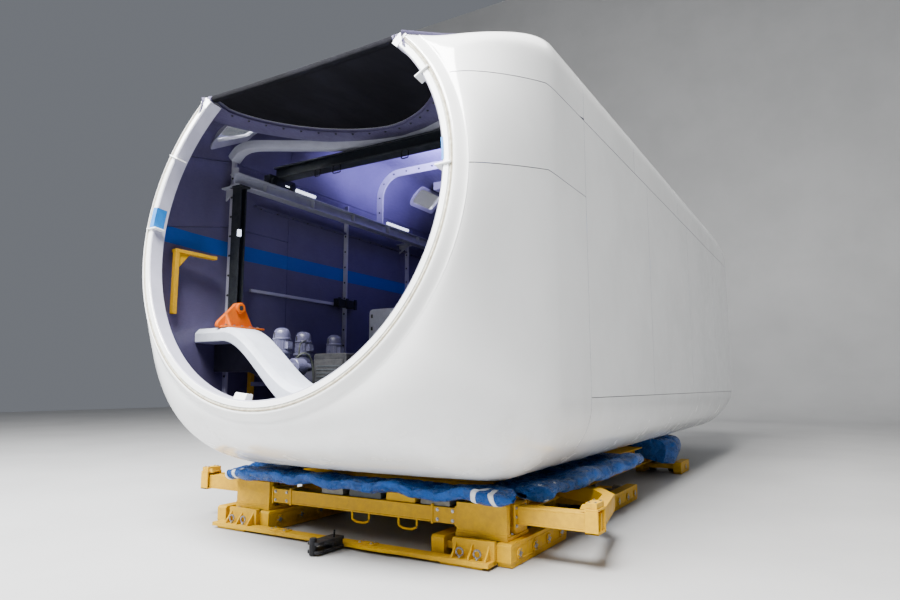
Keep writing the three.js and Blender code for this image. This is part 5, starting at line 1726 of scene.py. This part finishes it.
def uneven_line(count, seed, pitch):
    """Numbers between 0 and 1 along a line: one drawn every pitch points, joined by smooth steps."""
    knots = np.random.default_rng(seed).uniform(0, 1, count // pitch + 2)
    at = np.arange(count) / pitch
    low = at.astype(int)
    return knots[low] + (knots[low + 1] - knots[low]) * smooth_step(at - low)


def sheet_rows(profile, low, high, seed, step=0.014, depth=0.075, gather=0.1, droop=0.0):
    """A profile of (across, z) pairs carried between two stations. It is gathered towards its middle at both
    ends, pressed in by the creases square to itself, and droops unevenly along its length. Gives
    (rows, columns, 3) as across, station, z."""
    line = bent(smooth_path(profile, 2), step)
    count = int((high - low) / step)
    columns = len(line)
    station = np.linspace(low, high, count)
    along = unit(np.gradient(line, axis=0))
    inward = np.stack([-along[:, 1], along[:, 0]], axis=1)
    middle = line.mean(axis=0)
    inward *= np.sign(np.sum((middle - line) * inward, axis=1).sum())
    press = (creases(count, columns, seed) * 0.75 + creases(count, columns, seed + 7, 60) * 0.5) * depth
    inset = np.minimum(station - low, high - station)
    pull = smooth_step(1 - inset / gather)[:, None, None] * 0.75
    points = line[None] + inward[None] * press[:, :, None]
    points = points + (middle - points) * pull
    points += (middle - points) * (uneven_line(count, seed + 60, 14) * 0.28)[:, None, None]
    hang = uneven_line(count, seed + 90, 19)[:, None] * np.sin(np.linspace(0, np.pi, columns))[None]
    points[:, :, 1] -= droop * hang
    station = station[:, None] + 0.02 * (creases(count, columns, seed + 50) - 0.5) * (inset[:, None] > 0.05)
    return np.stack([points[:, :, 0], np.broadcast_to(station, press.shape), points[:, :, 1]], axis=-1)


def walked(line):
    """The distance along a line of points up to each of them."""
    return np.r_[0, np.cumsum(np.linalg.norm(np.diff(line, axis=0), axis=1))]


def sheet_map(grid):
    """A flat map of the sheet in metres, for its weave."""
    down, over = walked(grid[:, grid.shape[1] // 2]), walked(grid[grid.shape[0] // 2])
    return np.stack(np.meshgrid(over, down), axis=-1).reshape(-1, 2)


def make_tarps():
    """The four folded blue sheets under the housing, each one surface a few millimetres thick."""
    front = sheet_rows(FRONT_FOLD, -1.84, 1.84, 3, droop=0.06)[:, :, [1, 0, 2]]
    side = sheet_rows(SIDE_FOLD, 1.57, 5.19, 11, step=0.018, depth=0.12, droop=0.07)
    rear_line = [*REAR_FOLD, *[(-x, z) for x, z in REAR_FOLD[-2::-1]]]
    rear = sheet_rows(rear_line, 7.71, 9.09, 23, step=0.025, depth=0.03, gather=0.01)
    pads = [f"beam_pad_{number}" for number in (1, 2, 3, 4)]
    for word, grid, rests in (
        ("front", front[:, ::-1], ["front_beam", *pads]),
        ("right", side, ["long_beam_right"]),
        ("left", as_left(side), ["long_beam_left"]),
        ("rear", rear, ["long_beam_right", "long_beam_left"]),
    ):
        name, node, uv = f"{word}_sheet", f"tarp_{word}", sheet_map(grid)
        piece = make_piece(name, skin(grid), "tarp", [node], wall=0.003, uv=uv)
    make_tape_strips(front, side)


def strip_over(grid, start, end, wide, lift=0.004):
    """A strip of tape laid over a sheet, from one (row, column) share to another, wide rows across."""
    rows, columns = grid.shape[:2]
    walk = np.linspace(0, 1, 26)
    row = (start[0] + (end[0] - start[0]) * walk) * (rows - 1)
    column = (start[1] + (end[1] - start[1]) * walk) * (columns - 1)
    across = np.linspace(-wide, wide, 5)
    spot = on_surface(grid, row[:, None] + across[None], column[:, None] + 0 * across[None])
    middle = grid.reshape(-1, 3).mean(axis=0) * np.array([0, 0, 1]) + spot * np.array([1, 1, 0])
    away = spot - middle
    away[..., 1] -= 0.1
    return skin(spot + unit(away) * lift)


def make_tape_strips(front, side):
    """White cloth tape that holds the folds together near the front corner and at the left end."""
    strips = []
    for grid, start, end in (
        (front, (0.9, 0.1), (0.925, 0.85)),
        (front, (0.975, 0.1), (0.945, 0.85)),
        (front, (0.03, 0.2), (0.02, 0.7)),
        (front, (0.06, 0.25), (0.055, 0.8)),
        (side, (0.02, 0.2), (0.05, 0.85)),
        (side, (0.09, 0.3), (0.08, 0.75)),
    ):
        strips.append(strip_over(grid, start, end, 1.8))
    make_piece("white_strips", joined(*strips), "white_tape", wall=0.001)


# The stage: a pale floor that curves up behind, soft lamps and the camera that took the photo.


def floor_surface():
    """A floor 80 m wide that turns up into a wall behind the object: a flat, a quarter circle and a flat."""
    turn = np.linspace(0, np.pi / 2, 16)
    y = np.r_[-30, -10, 10, 22 + 8 * np.sin(turn), 30]
    z = np.r_[0, 0, 0, 8 * (1 - np.cos(turn)), 30]
    x = np.linspace(-40, 40, 9)
    return np.stack(np.broadcast_arrays(x[None], y[:, None], z[:, None]), axis=-1)


def aimed(item, spot, direction):
    """Puts a lamp or a camera at a spot, looking along a direction."""
    item.location = spot
    item.rotation_mode = "QUATERNION"
    item.rotation_quaternion = Vector(direction).to_track_quat("-Z", "Y")
    return linked(item)


def add_lamp(name, spot, target, size, watts, colour):
    """A square soft lamp at a spot, turned towards a target."""
    data = bpy.data.lights.new(name, "AREA")
    data.shape = "RECTANGLE"
    data.size, data.size_y = size
    data.energy = watts
    data.color = colour
    return aimed(bpy.data.objects.new(name, data), spot, Vector(target) - Vector(spot))


def make_stage():
    """Puts down the floor, lights the hall and the inside, and sets the camera."""
    look = bpy.context.scene.nacelle_look
    points, faces = skin(floor_surface())
    mesh = bpy.data.meshes.new("studio_floor")
    mesh.from_pydata(points.tolist(), [], faces)
    mesh.shade_smooth()
    mesh.materials.append(floor_finish(look.floor))
    linked(bpy.data.objects.new("studio_floor", mesh))
    daylight, sky, violet = (1.0, 0.99, 0.97), (0.93, 0.96, 1.0), look.inside_tint
    add_lamp("key_lamp", (1.5, -14, 16), (0, -5, 3), (9, 7), look.key_light, daylight)
    add_lamp("fill_lamp", (-8, -13, 12), (0, -6, 3.0), (10, 6), look.fill_light, sky)
    add_lamp("top_lamp", (-1.5, 0, 15), (0, 0, 2.5), (14, 18), look.top_light, daylight)
    add_lamp("inside_lamp", (0.4, -1.4, 4.62), (0.4, -1.4, 2), (2.2, 1.2), look.inside_light, violet)
    ceiling_spot, ceiling_target = (-0.1, -2.9, 4.72), (-0.8, -2.7, 5.2)
    ceiling = add_lamp("ceiling_lamp", ceiling_spot, ceiling_target, (0.8, 0.4), look.ceiling_light, violet)
    ceiling.data.spread = np.radians(95)
    world = bpy.data.worlds.new("studio_air")
    world.use_nodes = True
    back = world.node_tree.nodes["Background"]
    back.inputs["Color"].default_value = (0.8, 0.85, 0.95, 1)
    back.inputs["Strength"].default_value = look.air_light
    bpy.context.scene.world = world
    data = bpy.data.cameras.new("camera")
    data.lens = CAMERA_LENS
    data.sensor_width = CAMERA_SENSOR
    data.clip_end = 200
    bpy.context.scene.camera = aimed(bpy.data.objects.new("camera", data), CAMERA_SPOT, CAMERA_LOOK)


# The panel's settings.


def colour_setting(name, default, about):
    """A colour of the panel."""
    return FloatVectorProperty(name=name, description=about, default=default, subtype="COLOR", min=0, max=1)


def light_setting(name, default, about):
    """The power of a lamp, in watts."""
    return FloatProperty(name=name, description=about, default=default, min=0, unit="POWER")


class NacelleLook(PropertyGroup):
    """Colours and light of the nacelle and its frame."""

    shell: colour_setting("Shell", (0.87, 0.88, 0.88), "White gel coat outside")
    # The inside is light grey; this colour is dark and violet: painted shade and painted violet light of the
    # dim interior.
    inner: colour_setting("Inside", (0.095, 0.085, 0.17), "Light grey inner face")
    stripe: colour_setting("Stripe", (0.0, 0.075, 0.38), "Painted stripe along the inner walls")
    casting: colour_setting("Casting", (0.62, 0.66, 0.75), "Paint of the bed frame")
    orange: colour_setting("Orange", (0.62, 0.11, 0.0), "Paint of the lifting lug")
    steel: colour_setting("Crane steel", (0.005, 0.007, 0.011), "Dark paint of the service crane")
    yellow: colour_setting("Yellow", (0.68, 0.39, 0.0), "Paint of the transport frame")
    tarp: colour_setting("Blue sheet", (0.0, 0.09, 0.4), "Folded plastic sheets under the housing")
    floor: colour_setting("Floor", (0.42, 0.42, 0.42), "Studio floor")
    stripe_low: FloatProperty(name="Stripe low", description="Lower edge", default=3.22, unit="LENGTH")
    stripe_high: FloatProperty(name="Stripe high", description="Upper edge", default=3.41, unit="LENGTH")
    key_light: light_setting("Key", 16500.0, "The main lamp in front on the right")
    fill_light: light_setting("Fill", 6500.0, "The softer lamp in front on the left")
    top_light: light_setting("Top", 2100.0, "The wide lamp overhead")
    inside_light: light_setting("Inside", 20.0, "The lamp over the bed frame")
    ceiling_light: light_setting("Ceiling", 130.0, "The lamp that lights the ceiling")
    inside_tint: colour_setting("Inside tint", (0.5, 0.45, 1.0), "Colour of the light inside")
    air_light: FloatProperty(name="Air", description="Light from all round", default=0.21, min=0)


def operator(word, label, about, work):
    """An operator that runs one making step with the panel's look."""

    def execute(self, context):
        work()
        return {"FINISHED"}

    members = {"bl_idname": f"nacelle.{word}", "bl_label": label, "__doc__": about, "execute": execute}
    return type(f"NACELLE_OT_{word}", (Operator,), members)


STEPS = [
    operator("front_panels", "Front panels", "Makes the four cheek panels", make_front_panels),
    operator("front_roof", "Front roof", "Makes the roof with its sunk deck", make_front_roof),
    operator("bays", "Bays", "Makes the side, roof and bottom panels", make_bays),
    operator("ring", "Mouth ring", "Makes the ring round the mouth", make_ring),
    operator("fittings", "Ring fittings", "Makes the tabs, brackets and tape on the ring", ring_fittings),
    operator("seals", "Seals", "Makes the dark seals behind the joints", make_seals),
    operator("cover", "Roof cover", "Makes the black sheet over the roof opening", make_roof_cover),
    operator("skylights", "Skylights", "Makes the two panes and their frames", make_skylights),
    operator("bed", "Bed frame", "Makes the yoke, the saddle and the yaw drum", make_bed_frame),
    operator("lug", "Lifting lug", "Makes the orange lug", make_lifting_lug),
    operator("drives", "Yaw drives", "Makes the domed motors and their hoses", make_yaw_drives),
    operator("cabinets", "Cabinets", "Makes the pale cabinet and the black unit", make_cabinets),
    operator("crane", "Crane", "Makes the rails, the posts and the bridge", make_crane),
    operator("ribs", "Wall ribs", "Makes the bolted flanges and ledges on the walls", make_wall_ribs),
    operator("arch", "Roof arch", "Makes the arch and the flanges under the roof", make_arch),
    operator("small", "Small fittings", "Makes the brackets and the grey beam", make_small_fittings),
    operator("trucks", "Trucks", "Makes the six wheel trucks", make_trucks),
    operator("pedestals", "Pedestals", "Makes the two pedestals", make_pedestals),
    operator("beams", "Beams", "Makes the beams of the transport frame", make_beams),
    operator("outriggers", "Outriggers", "Makes the side arms", make_outriggers),
    operator("tie", "Tie bar", "Makes the flat bar and its coupling", make_tie_bar),
    operator("sheets", "Blue sheets", "Makes the folded blue sheets and their tape", make_tarps),
    operator("stage", "Stage", "Makes the floor, the lamps and the camera", make_stage),
]


class NACELLE_PT_panel(Panel):
    """The sidebar panel that lists every step."""

    bl_label = "Nacelle"
    bl_idname = "NACELLE_PT_panel"
    bl_space_type = "VIEW_3D"
    bl_region_type = "UI"
    bl_category = "Nacelle"

    def draw(self, context):
        for step in STEPS:
            self.layout.operator(step.bl_idname)


def register():
    """Adds the settings, the operators and the panel."""
    for kind in (NacelleLook, *STEPS, NACELLE_PT_panel):
        bpy.utils.register_class(kind)
    bpy.types.Scene.nacelle_look = PointerProperty(type=NacelleLook)


def unregister():
    """Takes the panel, the operators and the settings away again."""
    del bpy.types.Scene.nacelle_look
    for kind in (NACELLE_PT_panel, *reversed(STEPS), NacelleLook):
        bpy.utils.unregister_class(kind)


def main():
    """Registers everything, runs every step and writes the two boxes down."""
    register()
    for step in STEPS:
        getattr(bpy.ops.nacelle, step.bl_idname.split(".")[1])()


if __name__ == "__main__":
    main()
